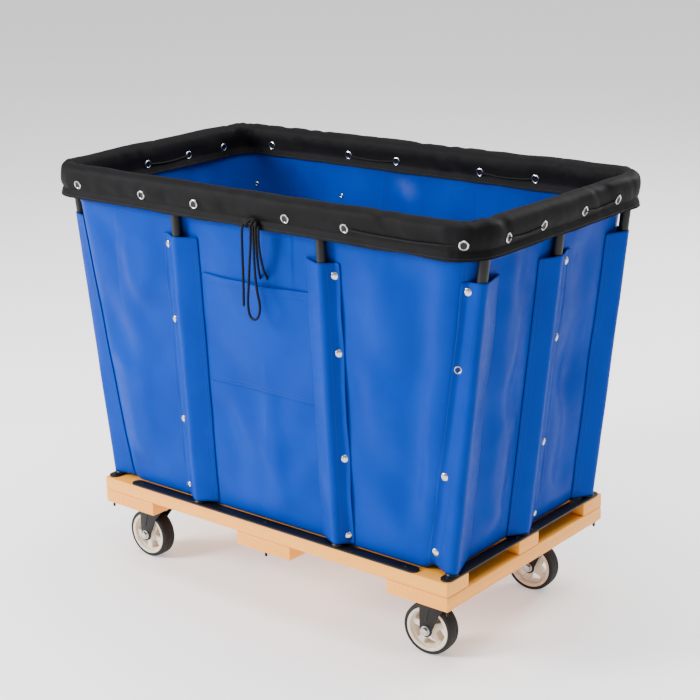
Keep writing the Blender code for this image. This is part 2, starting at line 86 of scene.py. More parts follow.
RAIL_LOW, RAIL_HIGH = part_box("top_rail")
TUBE_RADIUS = (RAIL_HIGH.z - RAIL_LOW.z) / 2
RAIL_Z = (RAIL_HIGH.z + RAIL_LOW.z) / 2
RIM = (RAIL_HIGH.x - TUBE_RADIUS, RAIL_HIGH.y - TUBE_RADIUS, 0.055)
LINER_POINTS = node_points("vinyl_liner")
LINER_BOTTOM = LINER_POINTS[:, 2].min()
LINER_TOP = LINER_POINTS[:, 2].max()
LINER_WALL = 1.2 * MM


def liner_half_sizes(level):
    """Half length and half width of the liner's outside at its floor or at its mouth."""
    ring = LINER_POINTS[np.abs(LINER_POINTS[:, 2] - level) < 0.5 * MM]
    return ring[:, 0].max(), ring[:, 1].max()


LINER_FLOOR = (*liner_half_sizes(LINER_BOTTOM), 0.046)
LINER_MOUTH = (*liner_half_sizes(LINER_TOP), 0.0445)


def liner_size(z):
    share = (z - LINER_BOTTOM) / (LINER_TOP - LINER_BOTTOM)
    return tuple(low + (high - low) * share for low, high in zip(LINER_FLOOR, LINER_MOUTH))


# ---------------------------------------------------------------------------
# Rounded rectangles: eight runs, a side and a corner in turn, from the front side's left end
# ---------------------------------------------------------------------------
def run_spot(size, run, share):
    """Point and outward direction on a run of a rounded rectangle (half x, half y, corner)."""
    quarter = run // 2
    turn = quarter * math.pi / 2
    along = Vector((math.cos(turn), math.sin(turn)))
    out = Vector((math.sin(turn), -math.cos(turn)))
    corner = size[2]
    straight = size[quarter % 2] - corner
    depth = size[1 - quarter % 2]
    if run % 2 == 0:
        return along * straight * (2 * share - 1) + out * depth, out
    angle = share * math.pi / 2
    normal = out * math.cos(angle) + along * math.sin(angle)
    return along * straight + out * (depth - corner) + normal * corner, normal


def run_lengths(size):
    sides = [2 * (size[quarter % 2] - size[2]) for quarter in range(4)]
    return [length for side in sides for length in (side, size[2] * math.pi / 2)]


def ring_layout(size, spacing, least=6):
    """(run, share) of each column of a ring, spaced evenly along each run."""
    layout = []
    for run, length in enumerate(run_lengths(size)):
        count = max(least, round(length / spacing))
        layout += [(run, step / count) for step in range(count)]
    return layout


def walk(size, quarter, position):
    """Point and outward direction at a distance along the ring from the middle of a side."""
    corner = size[2]
    bend = corner * math.pi / 2
    straight = size[quarter % 2] - corner
    way = 1 if position > 0 else -1
    past = abs(position) - straight
    if past <= 0:
        return run_spot(size, 2 * quarter, (position / straight + 1) / 2)
    if past <= bend:
        share = past / bend
        run = (2 * quarter + way) % 8
        return run_spot(size, run, share if way > 0 else 1 - share)
    beside = (quarter + way) % 4
    reach = size[beside % 2] - corner
    position = (past - bend - reach) * way
    return run_spot(size, 2 * beside, (position / reach + 1) / 2)


def grown(size, offset):
    return size[0] + offset, size[1] + offset, max(size[2] + offset, 3 * MM)


def ring_distances(size, layout):
    """Distance along the ring at each column, and the whole length last."""
    lengths = run_lengths(size)
    starts = [sum(lengths[:run]) for run in range(8)]
    return [starts[run] + share * lengths[run] for run, share in layout] + [sum(lengths)]


# ---------------------------------------------------------------------------
# Mesh helpers
# ---------------------------------------------------------------------------
def add_object(name, mesh, finish=None):
    made = bpy.data.objects.new(name, mesh)
    bpy.context.scene.collection.objects.link(made)
    if finish is not None:
        mesh.materials.clear()
        mesh.materials.append(finish)
    return made


def place(piece, body, slot, *nodes):
    """Fix a finished piece to its body and hide the solids that it stands for; slot is not used."""
    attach(piece, body)
    if nodes:
        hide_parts(*nodes)
    return piece


def shade(mesh, angle=None):
    mesh.shade_smooth()
    if angle is not None:
        mesh.set_sharp_from_angle(angle=math.radians(angle))


def baked(holder, name):
    """The holder's shape with its modifiers applied, as a new mesh; the holder is removed."""
    graph = bpy.context.evaluated_depsgraph_get()
    mesh = bpy.data.meshes.new_from_object(holder.evaluated_get(graph))
    mesh.transform(holder.matrix_world)
    mesh.name = name
    bpy.data.objects.remove(holder, do_unlink=True)
    return mesh


def grid_mesh(name, points, across, upward, closed):
    """A grid of quads; points is rows x columns x 3, and the UV map is in metres."""
    rows, columns = points.shape[:2]
    wide = columns if closed else columns - 1
    faces, uvs = [], []
    for r in range(rows - 1):
        for c in range(wide):
            d = (c + 1) % columns
            faces.append((r * columns + c, r * columns + d, (r + 1) * columns + d, (r + 1) * columns + c))
            for row, column in ((r, c), (r, c + 1), (r + 1, c + 1), (r + 1, c)):
                uvs += (across[column], upward[row])
    mesh = bpy.data.meshes.new(name)
    mesh.from_pydata(points.reshape(-1, 3).tolist(), [], faces)
    mesh.uv_layers.new(name="UVMap").data.foreach_set("uv", uvs)
    return mesh


def thicken(piece, thickness, levels=1, offset=-1.0):
    if levels:
        smooth = piece.modifiers.new("soft", "SUBSURF")
        smooth.levels = levels
        smooth.render_levels = levels
    wall = piece.modifiers.new("cloth", "SOLIDIFY")
    wall.thickness = thickness
    wall.offset = offset
    return piece


def applied(piece):
    """Apply a piece's modifiers, so that its final mesh is plain."""
    graph = bpy.context.evaluated_depsgraph_get()
    mesh = bpy.data.meshes.new_from_object(piece.evaluated_get(graph))
    piece.modifiers.clear()
    piece.data = mesh
    return piece


def turned(name, profile, steps=48, closed=False, matrix=None):
    """A (radius, height) profile turned about Z; points at radius 0 become poles."""
    work = bmesh.new()
    rings = []
    for radius, height in profile:
        if radius == 0:
            rings.append([work.verts.new((0, 0, height))])
            continue
        angles = [2 * math.pi * step / steps for step in range(steps)]
        rings.append([work.verts.new((radius * math.cos(a), radius * math.sin(a), height)) for a in angles])
    pairs = list(zip(rings, rings[1:] + rings[:1])) if closed else list(zip(rings, rings[1:]))
    for low, high in pairs:
        for step in range(steps):
            after = (step + 1) % steps
            corners = [low[step % len(low)], low[after % len(low)],
                       high[after % len(high)], high[step % len(high)]]
            unique = list(dict.fromkeys(corners))
            if len(unique) > 2:
                work.faces.new(unique)
    bmesh.ops.recalc_face_normals(work, faces=work.faces)
    mesh = bpy.data.meshes.new(name)
    work.to_mesh(mesh)
    work.free()
    if matrix is not None:
        mesh.transform(matrix)
    return mesh


def smooth_route(points, spacing, closed=False):
    """Catmull-Rom curve through the points, read about every spacing."""
    path = [Vector(point) for point in points]
    if closed:
        path = [path[-1]] + path + path[:2]
    else:
        path = [2 * path[0] - path[1]] + path + [2 * path[-1] - path[-2]]
    read = []
    for i in range(1, len(path) - 2):
        a, b, c, d = path[i - 1:i + 3]
        steps = max(1, round((c - b).length / spacing))
        for step in range(steps):
            t = step / steps
            read.append(0.5 * (2 * b + (c - a) * t + (2 * a - 5 * b + 4 * c - d) * t * t
                               + (3 * b - a - 3 * c + d) * t ** 3))
    if not closed:
        read.append(path[-2])
    return read


def sweep(name, path, radius, sides=12, closed=False):
    """A tube along a path, with rounded ends; its UV map is round it and along it in metres."""
    path = [Vector(point) for point in path]
    count = len(path)
    radii = [radius] * count
    if not closed:
        for share in (0.5, 0.85, 1.0):
            first = (path[0] - path[1]).normalized() * radius * 0.4
            last = (path[-1] - path[-2]).normalized() * radius * 0.4
            size = radius * math.sqrt(max(0.0, 1 - share * share)) + 0.05 * MM
            path = [path[0] + first] + path + [path[-1] + last]
            radii = [size] + radii + [size]
        count = len(path)
    side = None
    rows, along = [], [0.0]
    for i, point in enumerate(path):
        before = path[i - 1] if closed or i else path[0]
        after = path[(i + 1) % count] if closed or i < count - 1 else path[-1]
        tangent = (after - before).normalized()
        if side is None:
            side = tangent.orthogonal().normalized()
        side = (side - tangent * side.dot(tangent)).normalized()
        other = tangent.cross(side)
        angles = [2 * math.pi * k / sides for k in range(sides)]
        rows.append([point + (side * math.cos(a) + other * math.sin(a)) * radii[i] for a in angles])
        if i:
            along.append(along[-1] + (point - path[i - 1]).length)
    if closed:
        rows.append(rows[0])
        along.append(along[-1] + (path[0] - path[-1]).length)
    across = [k / sides for k in range(sides + 1)]
    mesh = grid_mesh(name, np.array([[tuple(p) for p in row] for row in rows]), across, along, True)
    work = bmesh.new()
    work.from_mesh(mesh)
    bmesh.ops.remove_doubles(work, verts=work.verts, dist=0.01 * MM)
    bmesh.ops.holes_fill(work, edges=[e for e in work.edges if e.is_boundary], sides=sides)
    bmesh.ops.recalc_face_normals(work, faces=work.faces)
    work.to_mesh(mesh)
    work.free()
    mesh.shade_smooth()
    return mesh


def finished_copy(name, node, finish, edge, segments=2):
    """The CAD piece's own shape, merged, with its edges rounded."""
    mesh = frame["nodes"][node].data.copy()
    mesh.materials.clear()
    work = bmesh.new()
    work.from_mesh(mesh)
    bmesh.ops.remove_doubles(work, verts=work.verts, dist=0.02 * MM)
    bmesh.ops.dissolve_limit(work, angle_limit=math.radians(2), verts=work.verts, edges=work.edges)
    work.to_mesh(mesh)
    work.free()
    holder = add_object(name + "_holder", mesh)
    bevel = holder.modifiers.new("edges", "BEVEL")
    bevel.width = edge
    bevel.segments = segments
    bevel.limit_method = "ANGLE"
    bevel.angle_limit = math.radians(40)
    made = baked(holder, name)
    shade(made, 32)
    return add_object(name, made, finish)


def joined(name, meshes):
    """Several meshes as one."""
    work = bmesh.new()
    for mesh in meshes:
        work.from_mesh(mesh)
    made = bpy.data.meshes.new(name)
    work.to_mesh(made)
    work.free()
    return made


def rounded_block(name, low, high, edge, segments=3):
    """A box between two corners with rounded edges."""
    low, high = Vector(low), Vector(high)
    work = bmesh.new()
    bmesh.ops.create_cube(work, size=1.0)
    bmesh.ops.scale(work, vec=high - low, verts=work.verts)
    bmesh.ops.translate(work, vec=(high + low) / 2, verts=work.verts)
    bmesh.ops.bevel(work, geom=work.edges, offset=edge, segments=segments, profile=0.5, affect="EDGES")
    mesh = bpy.data.meshes.new(name)
    work.to_mesh(mesh)
    work.free()
    shade(mesh, 50)
    return mesh


# ---------------------------------------------------------------------------
# Materials
# ---------------------------------------------------------------------------
def linear(hex_colour):
    """An sRGB hex colour as linear RGBA."""
    values = []
    for start in (1, 3, 5):
        value = int(hex_colour[start:start + 2], 16) / 255
        values.append(value / 12.92 if value <= 0.04045 else ((value + 0.055) / 1.055) ** 2.4)
    return (*values, 1.0)


def add_node(tree, kind, inputs=None, **settings):
    """A node with its settings; an input is a value, or another node's socket to link."""
    node = tree.nodes.new(kind)
    for name, value in settings.items():
        setattr(node, name, value)
    for key, value in (inputs or {}).items():
        if isinstance(value, bpy.types.NodeSocket):
            tree.links.new(value, node.inputs[key])
        else:
            node.inputs[key].default_value = value
    return node


def new_material(name, **fixed):
    """A material with its Principled shader; fixed values are set on the shader's own sockets."""
    made = bpy.data.materials.new(name)
    made.use_nodes = True
    shader = made.node_tree.nodes["Principled BSDF"]
    for socket, value in fixed.items():
        shader.inputs[socket.replace("_", " ")].default_value = value
    return made, made.node_tree, shader


def scaled(tree, coordinates, scale, turn=(0, 0, 0)):
    inputs = {"Vector": coordinates, "Scale": scale, "Rotation": turn}
    return add_node(tree, "ShaderNodeMapping", inputs).outputs[0]


def noise_of(tree, vector, scale, detail=3.0, roughness=0.5, distortion=0.0):
    inputs = {"Vector": vector, "Scale": scale, "Detail": detail, "Roughness": roughness,
              "Distortion": distortion}
    return add_node(tree, "ShaderNodeTexNoise", inputs).outputs[0]


def ranged(tree, value, low, high, to_low=0.0, to_high=1.0):
    inputs = {"Value": value, "From Min": low, "From Max": high, "To Min": to_low, "To Max": to_high}
    return add_node(tree, "ShaderNodeMapRange", inputs).outputs[0]


def blend(tree, factor, first, second):
    return add_node(tree, "ShaderNodeMix", {0: factor, 6: first, 7: second}, data_type="RGBA").outputs[2]


def combine(tree, first, second, operation="MULTIPLY"):
    return add_node(tree, "ShaderNodeMath", {0: first, 1: second}, operation=operation).outputs[0]


def bump(tree, shader, height, strength, distance, under=None):
    inputs = {"Height": height, "Strength": strength, "Distance": distance}
    if under is not None:
        inputs["Normal"] = under
    made = add_node(tree, "ShaderNodeBump", inputs).outputs[0]
    tree.links.new(made, shader.inputs["Normal"])
    return made


def object_coordinates(tree):
    return add_node(tree, "ShaderNodeTexCoord").outputs["Object"]


def uv_coordinates(tree):
    return add_node(tree, "ShaderNodeTexCoord").outputs["UV"]


def pine(name, along_y, heart):
    """Flat-sawn pine, planed and clear sealed: growth rings run as long streaks down a face and
    show as arcs on the ends, under a thin satin sealer."""
    made, tree, shader = new_material(name, Roughness=0.48, Coat_Weight=0.12, Coat_Roughness=0.35)
    turn = (0, 0, math.pi / 2 if along_y else 0)
    turned_way = scaled(tree, object_coordinates(tree), (1, 1, 1), turn)
    centred = add_node(tree, "ShaderNodeMapping", {"Vector": turned_way, "Location": heart}).outputs[0]
    stretched = scaled(tree, centred, (0.035, 1, 1))
    wander = noise_of(tree, stretched, 14, 2, 0.5)
    shifted = add_node(tree, "ShaderNodeVectorMath", {0: stretched, 1: wander}, operation="ADD").outputs[0]
    inputs = {0: 0.045, 4: stretched, 5: shifted}
    shifted = add_node(tree, "ShaderNodeMix", inputs, data_type="VECTOR").outputs[1]
    # growth rings about 5 mm apart
    rings = add_node(tree, "ShaderNodeTexWave", {"Vector": shifted, "Scale": 32.0, "Distortion": 1.2,
                     "Detail": 2.0, "Detail Scale": 1.4}, wave_type="RINGS", rings_direction="X",
                     wave_profile="SAW").outputs[1]
    fibres = noise_of(tree, scaled(tree, centred, (0.02, 1, 1)), 900, 2, 0.6)
    tone = noise_of(tree, stretched, 7, 2, 0.5)
    wood = blend(tree, ranged(tree, rings, 0.35, 1.0, 0.0, 0.55), linear("#FFA628"), linear("#EE8A18"))
    wood = blend(tree, ranged(tree, fibres, 0.35, 0.75, 0.0, 0.30), wood, linear("#CC7014"))
    wood = blend(tree, ranged(tree, tone, 0.35, 0.7, 0.0, 0.35), wood, linear("#FFB638"))
    tree.links.new(wood, shader.inputs["Base Color"])
    tree.links.new(ranged(tree, fibres, 0.3, 0.7, 0.42, 0.58), shader.inputs["Roughness"])
    height = combine(tree, fibres, combine(tree, rings, 0.35), "ADD")
    bump(tree, shader, height, 0.35, 0.25 * MM)
    return made


def coated_vinyl(name, colour, deep, roughness):
    """PVC-coated polyester tarpaulin: a satin plastic skin over a woven scrim. Its soft highlights are
    broken by the faint square scrim, by soft creases and by long upright fold lines."""
    made, tree, shader = new_material(name, Roughness=roughness, Specular_IOR_Level=0.045)
    place_in_space = object_coordinates(tree)
    cloudy = noise_of(tree, place_in_space, 9, 3, 0.55)
    rubbed = noise_of(tree, place_in_space, 46, 4, 0.65)
    skin = blend(tree, ranged(tree, cloudy, 0.3, 0.7, 0.0, 0.5), linear(colour), linear(deep))
    skin = blend(tree, ranged(tree, rubbed, 0.60, 0.85, 0.0, 0.10), skin, linear("#0648A8"))
    tree.links.new(skin, shader.inputs["Base Color"])
    worn = ranged(tree, rubbed, 0.3, 0.8, roughness - 0.06, roughness + 0.14)
    tree.links.new(worn, shader.inputs["Roughness"])
    # scrim threads 1.6 mm apart; the real ones are 1 mm, too fine to show
    weave = []
    for direction in ("X", "Y"):
        inputs = {"Vector": uv_coordinates(tree), "Scale": 0.5 / (1.6 * MM) / math.pi, "Distortion": 0.0}
        weave.append(add_node(tree, "ShaderNodeTexWave", inputs, bands_direction=direction).outputs[1])
    scrim = combine(tree, weave[0], weave[1], "ADD")
    first = bump(tree, shader, scrim, 0.10, 0.06 * MM)
    creases = noise_of(tree, place_in_space, 17, 3, 0.5, 0.6)
    second = bump(tree, shader, creases, 0.35, 2.2 * MM, first)
    # fold lines left by handling: long, mostly upright, and broken into short runs
    long_noise = noise_of(tree, scaled(tree, place_in_space, (1.0, 1.0, 0.28)), 6.5, 2, 0.4, 0.5)
    ridge = combine(tree, combine(tree, long_noise, 0.5, "SUBTRACT"), 0.0, "MAXIMUM")
    line = ranged(tree, ridge, 0.0, 0.045, 0.0, 1.0)
    runs = ranged(tree, noise_of(tree, place_in_space, 4.2, 2, 0.5), 0.46, 0.60)
    bump(tree, shader, combine(tree, line, runs), 0.55, 2.6 * MM, second)
    return made


def coated_nylon(name):
    """Coated nylon pack cloth: a matt, slightly dusty black with a fine square weave and small
    puckers."""
    made, tree, shader = new_material(name, Roughness=0.62, Specular_IOR_Level=0.07)
    place_in_space = object_coordinates(tree)
    cloudy = noise_of(tree, place_in_space, 24, 4, 0.6)
    dust = noise_of(tree, place_in_space, 210, 2, 0.6)
    cloth = blend(tree, ranged(tree, cloudy, 0.3, 0.7), linear("#0D0D0E"), linear("#131214"))
    cloth = blend(tree, ranged(tree, dust, 0.62, 0.8, 0.0, 0.22), cloth, linear("#242322"))
    tree.links.new(cloth, shader.inputs["Base Color"])
    # threads 1.2 mm apart, drawn twice as coarse as the real ones so that they show
    weave = []
    for direction in ("X", "Y"):
        inputs = {"Vector": uv_coordinates(tree), "Scale": 0.5 / (1.2 * MM) / math.pi, "Distortion": 0.4}
        weave.append(add_node(tree, "ShaderNodeTexWave", inputs, bands_direction=direction).outputs[1])
    first = bump(tree, shader, combine(tree, weave[0], weave[1], "ADD"), 0.30, 0.08 * MM)
    puckers = noise_of(tree, place_in_space, 38, 3, 0.55, 0.8)
    bump(tree, shader, puckers, 0.45, 1.6 * MM, first)
    return made


def powder_coat(name, colour="#0B0B0C", dusted="#181818"):
    """Mild steel, powder coated satin black: a faint orange-peel skin with a soft highlight."""
    made, tree, shader = new_material(name, Roughness=0.42, Specular_IOR_Level=0.3)
    place_in_space = object_coordinates(tree)
    peel = noise_of(tree, place_in_space, 620, 2, 0.5)
    dusty = noise_of(tree, place_in_space, 60, 4, 0.65)
    paint = blend(tree, ranged(tree, dusty, 0.55, 0.8, 0.0, 0.5), linear(colour), linear(dusted))
    tree.links.new(paint, shader.inputs["Base Color"])
    tree.links.new(ranged(tree, dusty, 0.3, 0.75, 0.36, 0.56), shader.inputs["Roughness"])
    bump(tree, shader, peel, 0.25, 0.12 * MM)
    return made


def braided_cord(name):
    """Braided polyester cord: black strands cross in a diamond pattern, dull and matt."""
    made, tree, shader = new_material(name, Roughness=0.70, Specular_IOR_Level=0.15)
    crossing = []
    for lean in (1, -1):
        strand = scaled(tree, uv_coordinates(tree), (4.0, lean / (4.5 * MM), 1))
        inputs = {"Vector": strand, "Scale": 1 / (2 * math.pi) * 2, "Distortion": 0.0}
        crossing.append(add_node(tree, "ShaderNodeTexWave", inputs, bands_direction="DIAGONAL").outputs[1])
    strands = combine(tree, crossing[0], crossing[1], "MAXIMUM")
    yarn = blend(tree, strands, linear("#050506"), linear("#111113"))
    tree.links.new(yarn, shader.inputs["Base Color"])
    bump(tree, shader, strands, 0.6, 0.4 * MM)
    return made


def plated(name, colour, roughness, grain):
    """Plated steel hardware: bright nickel or zinc with fine handling marks."""
    made, tree, shader = new_material(name, Metallic=1.0, Roughness=roughness)
    place_in_space = object_coordinates(tree)
    marks = noise_of(tree, place_in_space, grain, 4, 0.7)
    tree.links.new(blend(tree, ranged(tree, marks, 0.3, 0.8), linear(colour), linear("#8F8F8C")),
                   shader.inputs["Base Color"])
    tree.links.new(ranged(tree, marks, 0.3, 0.8, roughness, roughness + 0.16), shader.inputs["Roughness"])
    bump(tree, shader, marks, 0.12, 0.1 * MM)
    return made


def moulded_plastic(name):
    """Injection moulded polypropylene, cream: satin, slightly mottled, flecked with grey dust."""
    made, tree, shader = new_material(name, Roughness=0.42, Specular_IOR_Level=0.45, Subsurface_Weight=0.04,
                                      Subsurface_Scale=0.01)
    place_in_space = object_coordinates(tree)
    mottle = noise_of(tree, place_in_space, 120, 3, 0.6)
    dusty = noise_of(tree, place_in_space, 420, 3, 0.6)
    skin = blend(tree, ranged(tree, mottle, 0.35, 0.7), linear("#E4D9C8"), linear("#D3C6B2"))
    skin = blend(tree, ranged(tree, dusty, 0.58, 0.8, 0.0, 0.25), skin, linear("#9A8F7E"))
    tree.links.new(skin, shader.inputs["Base Color"])
    bump(tree, shader, dusty, 0.12, 0.15 * MM)
    return made


def moulded_rubber(name):
    """Vulcanised rubber tyre: matt black with a brown-grey bloom where it has rolled on dust."""
    made, tree, shader = new_material(name, Roughness=0.72, Specular_IOR_Level=0.35)
    place_in_space = object_coordinates(tree)
    bloom = noise_of(tree, place_in_space, 70, 5, 0.65)
    grit = noise_of(tree, place_in_space, 900, 2, 0.6)
    skin = blend(tree, ranged(tree, bloom, 0.42, 0.72, 0.0, 0.65), linear("#121212"), linear("#2C2724"))
    tree.links.new(skin, shader.inputs["Base Color"])
    tree.links.new(ranged(tree, bloom, 0.3, 0.7, 0.58, 0.82), shader.inputs["Roughness"])
    bump(tree, shader, grit, 0.3, 0.15 * MM)
    return made


def sewing_thread(name, colour):
    """Bonded nylon sewing thread: small, smooth, slightly glossy stitches."""
    made, tree, shader = new_material(name, Roughness=0.45)
    twist = noise_of(tree, object_coordinates(tree), 1500, 1, 0.5)
    tree.links.new(blend(tree, twist, linear(colour), linear("#0A1E3C")), shader.inputs["Base Color"])
    bump(tree, shader, twist, 0.3, 0.1 * MM)
    return made


def studio_floor(name):
    """Seamless white studio paper, matt with the faintest tooth."""
    made, tree, shader = new_material(name, Roughness=0.9, Specular_IOR_Level=0.1, Emission_Strength=0.50,
                                      Emission_Color=(1.0, 1.0, 1.0, 1.0))
    tooth = noise_of(tree, object_coordinates(tree), 3, 2, 0.5)
    tree.links.new(blend(tree, tooth, linear("#F6F6F5"), linear("#F9F9F8")), shader.inputs["Base Color"])
    return made


PINE_X = [pine(f"pine_runner_{i}", False, (0.3 * i, 0.043 * (i - 1) + 0.02, -0.15 - 0.02 * i))
          for i in range(3)]
PINE_Y = [pine(f"pine_crossboard_{i}", True, (0.2 * i, 0.37 * (i - 1) + 0.03, -0.10 - 0.015 * i))
          for i in range(3)]
VINYL = coated_vinyl("pvc_tarpaulin_blue", "#003598", "#002A80", 0.36)
NYLON = coated_nylon("coated_nylon_black")
STEEL = powder_coat("powder_coated_steel")
CORD = braided_cord("braided_polyester_cord")
NICKEL = plated("nickel_plated_brass", "#DAD8D2", 0.16, 260)
ZINC = plated("bright_zinc_plate", "#D2DADD", 0.26, 420)
PLASTIC = moulded_plastic("cream_polypropylene")
RUBBER = moulded_rubber("vulcanised_rubber")
BLUE_THREAD = sewing_thread("blue_nylon_thread", "#0B4696")
BLACK_THREAD = sewing_thread("black_nylon_thread", "#141414")
# painted shade: near-black powder coat for the discs that stand in for the shade inside the eyelet and socket
# holes
PAINTED_HOLE_SHADE = powder_coat("shaded_eyelet_hole", "#010101", "#030303")


# ---------------------------------------------------------------------------
# Camera
# ---------------------------------------------------------------------------
CAMERA_PLACE = Vector((1.9689, -2.3636, 1.4342))
CAMERA_AZIMUTH = math.radians(39.599)
CAMERA_ELEVATION = math.radians(17.291)
CAMERA_ROLL = math.radians(-1.384)
CAMERA_LENS = 84.84


def build_camera():
    a, e, r = CAMERA_AZIMUTH, CAMERA_ELEVATION, CAMERA_ROLL
    back = Vector((math.sin(a) * math.cos(e), -math.cos(a) * math.cos(e), math.sin(e)))
    right = Vector((math.cos(a), math.sin(a), 0))
    up = back.cross(right)
    right, up = right * math.cos(r) + up * math.sin(r), up * math.cos(r) - right * math.sin(r)
    camera = bpy.data.objects.new("camera", bpy.data.cameras.new("camera"))
    bpy.context.scene.collection.objects.link(camera)
    camera.data.lens = CAMERA_LENS
    camera.data.sensor_width = 36.0
    camera.data.clip_end = 100.0
    camera.matrix_world = Matrix.Translation(CAMERA_PLACE) @ Matrix((right, up, back)).transposed().to_4x4()
    bpy.context.scene.camera = camera


build_camera()


# ---------------------------------------------------------------------------
# Drawstring bow
# ---------------------------------------------------------------------------
CORD_RADIUS = 2.3 * MM
LACE_RADIUS = 1.9 * MM
CORD_Y = -0.2912
KNOT_CENTRE = Vector((0.0345, -0.2925, 0.7935))
TAIL_ROUTE = [
    (0.0165, CORD_Y, 0.7850), (0.0135, CORD_Y, 0.7760), (0.0124, CORD_Y, 0.7509),
    (0.0118, CORD_Y, 0.7019), (0.0114, CORD_Y, 0.6689), (0.0102, CORD_Y, 0.6373),
]
LOOP_ROUTE = [
    (0.0345, CORD_Y, 0.7850), (0.0329, CORD_Y, 0.7537), (0.0290, CORD_Y, 0.7207),
    (0.0245, CORD_Y, 0.6792), (0.0208, CORD_Y, 0.6440), (0.0228, CORD_Y, 0.6240),
    (0.0285, CORD_Y, 0.6160), (0.0355, CORD_Y, 0.6140), (0.0430, CORD_Y, 0.6190),
    (0.0480, CORD_Y, 0.6300), (0.0490, CORD_Y, 0.6440), (0.0446, CORD_Y, 0.6658),
    (0.0416, CORD_Y, 0.6899), (0.0402, CORD_Y, 0.7222), (0.0402, CORD_Y, 0.7545),
    (0.0405, CORD_Y, 0.7850),
]
TUCKED_ROUTE = [
    (0.0463, CORD_Y, 0.7850), (0.0462, CORD_Y, 0.7560), (0.0420, -0.2850, 0.7300),
    (0.0330, -0.2730, 0.7020), (0.0250, -0.2610, 0.6850), (0.0232, -0.2560, 0.6745),
    (0.0260, -0.2545, 0.6678), (0.0325, -0.2545, 0.6650), (0.0390, -0.2545, 0.6678),
    (0.0418, -0.2560, 0.6745), (0.0425, -0.2610, 0.6850), (0.0455, -0.2730, 0.7020),
    (0.0500, -0.2850, 0.7300), (0.0525, CORD_Y, 0.7560), (0.0528, CORD_Y, 0.7850),
]


def build_knot():
    """A flat, wide tangle of the same cord: four turns woven over and under each other."""
    path = []
    steps = 120
    for step in range(steps):
        t = 2 * math.pi * step / steps
        x = 11.5 * MM * math.sin(2 * t) + 5.0 * MM * math.sin(t)
        z = 4.6 * MM * math.cos(3 * t) - 1.2 * MM * math.cos(t)
        path.append(KNOT_CENTRE + Vector((x, 2.2 * MM * math.sin(5 * t), z)))
    knot = add_object("bow_knot", sweep("bow_knot", path, CORD_RADIUS, 10, closed=True), CORD)
    return place(knot, "root", "lace_cord", "drawstring_knot")


def build_bow():
    knot = build_knot()
    for part, route, far_end in (("tail", TAIL_ROUTE, "bare"), ("loop", LOOP_ROUTE, "object"),
                                 ("tucked_loop", TUCKED_ROUTE, "object")):
        path = smooth_route(route, 3.0 * MM)
        strand = add_object(f"bow_{part}", sweep(f"bow_{part}", path, CORD_RADIUS, 10), CORD)
        place(strand, "root", "lace_cord", f"drawstring_{part}")


build_bow()


# ---------------------------------------------------------------------------
# Geometry node trees: small parts set on points, and stitches along seams
# ---------------------------------------------------------------------------
def tree_inputs(name, sockets):
    """A geometry tree with a geometry in and out and the named inputs given."""
    tree = bpy.data.node_groups.new(name, "GeometryNodeTree")
    tree.interface.new_socket("Geometry", in_out="OUTPUT", socket_type="NodeSocketGeometry")
    tree.interface.new_socket("Geometry", in_out="INPUT", socket_type="NodeSocketGeometry")
    identifiers = {}
    for label, kind in sockets:
        socket = tree.interface.new_socket(label, in_out="INPUT", socket_type=kind)
        identifiers[label] = socket.identifier
    return tree, identifiers


def hardware_tree():
    """Sets a copy of one part on every point, its Z along the point's facing."""
    tree, names = tree_inputs("set_hardware", [("Part", "NodeSocketObject"), ("Finish", "NodeSocketMaterial"),
                                               ("Size", "NodeSocketFloat"), ("Turn Seed", "NodeSocketInt")])
    given = add_node(tree, "NodeGroupInput")
    part = add_node(tree, "GeometryNodeObjectInfo", {"Object": given.outputs["Part"]})
    facing = add_node(tree, "GeometryNodeInputNamedAttribute", {"Name": "facing"}, data_type="FLOAT_VECTOR")
    aligned = add_node(tree, "FunctionNodeAlignRotationToVector", {"Vector": facing.outputs[0]}, axis="Z")
    turn = add_node(tree, "FunctionNodeRandomValue", {0: (0, 0, 0), 1: (0, 0, 2 * math.pi),
                    "Seed": given.outputs["Turn Seed"]}, data_type="FLOAT_VECTOR")
    spun = add_node(tree, "FunctionNodeRotateRotation", {0: aligned.outputs[0], 1: turn.outputs[0]},
                    rotation_space="LOCAL")
    points = add_node(tree, "GeometryNodeMeshToPoints", {"Mesh": given.outputs["Geometry"]})
    inputs = {"Points": points.outputs[0], "Instance": part.outputs["Geometry"], "Rotation": spun.outputs[0],
              "Scale": given.outputs["Size"]}
    copies = add_node(tree, "GeometryNodeInstanceOnPoints", inputs)
    real = add_node(tree, "GeometryNodeRealizeInstances", {0: copies.outputs[0]})
    painted = add_node(tree, "GeometryNodeSetMaterial", {"Geometry": real.outputs[0],
                       "Material": given.outputs["Finish"]})
    add_node(tree, "NodeGroupOutput", {0: painted.outputs[0]})
    return tree, names


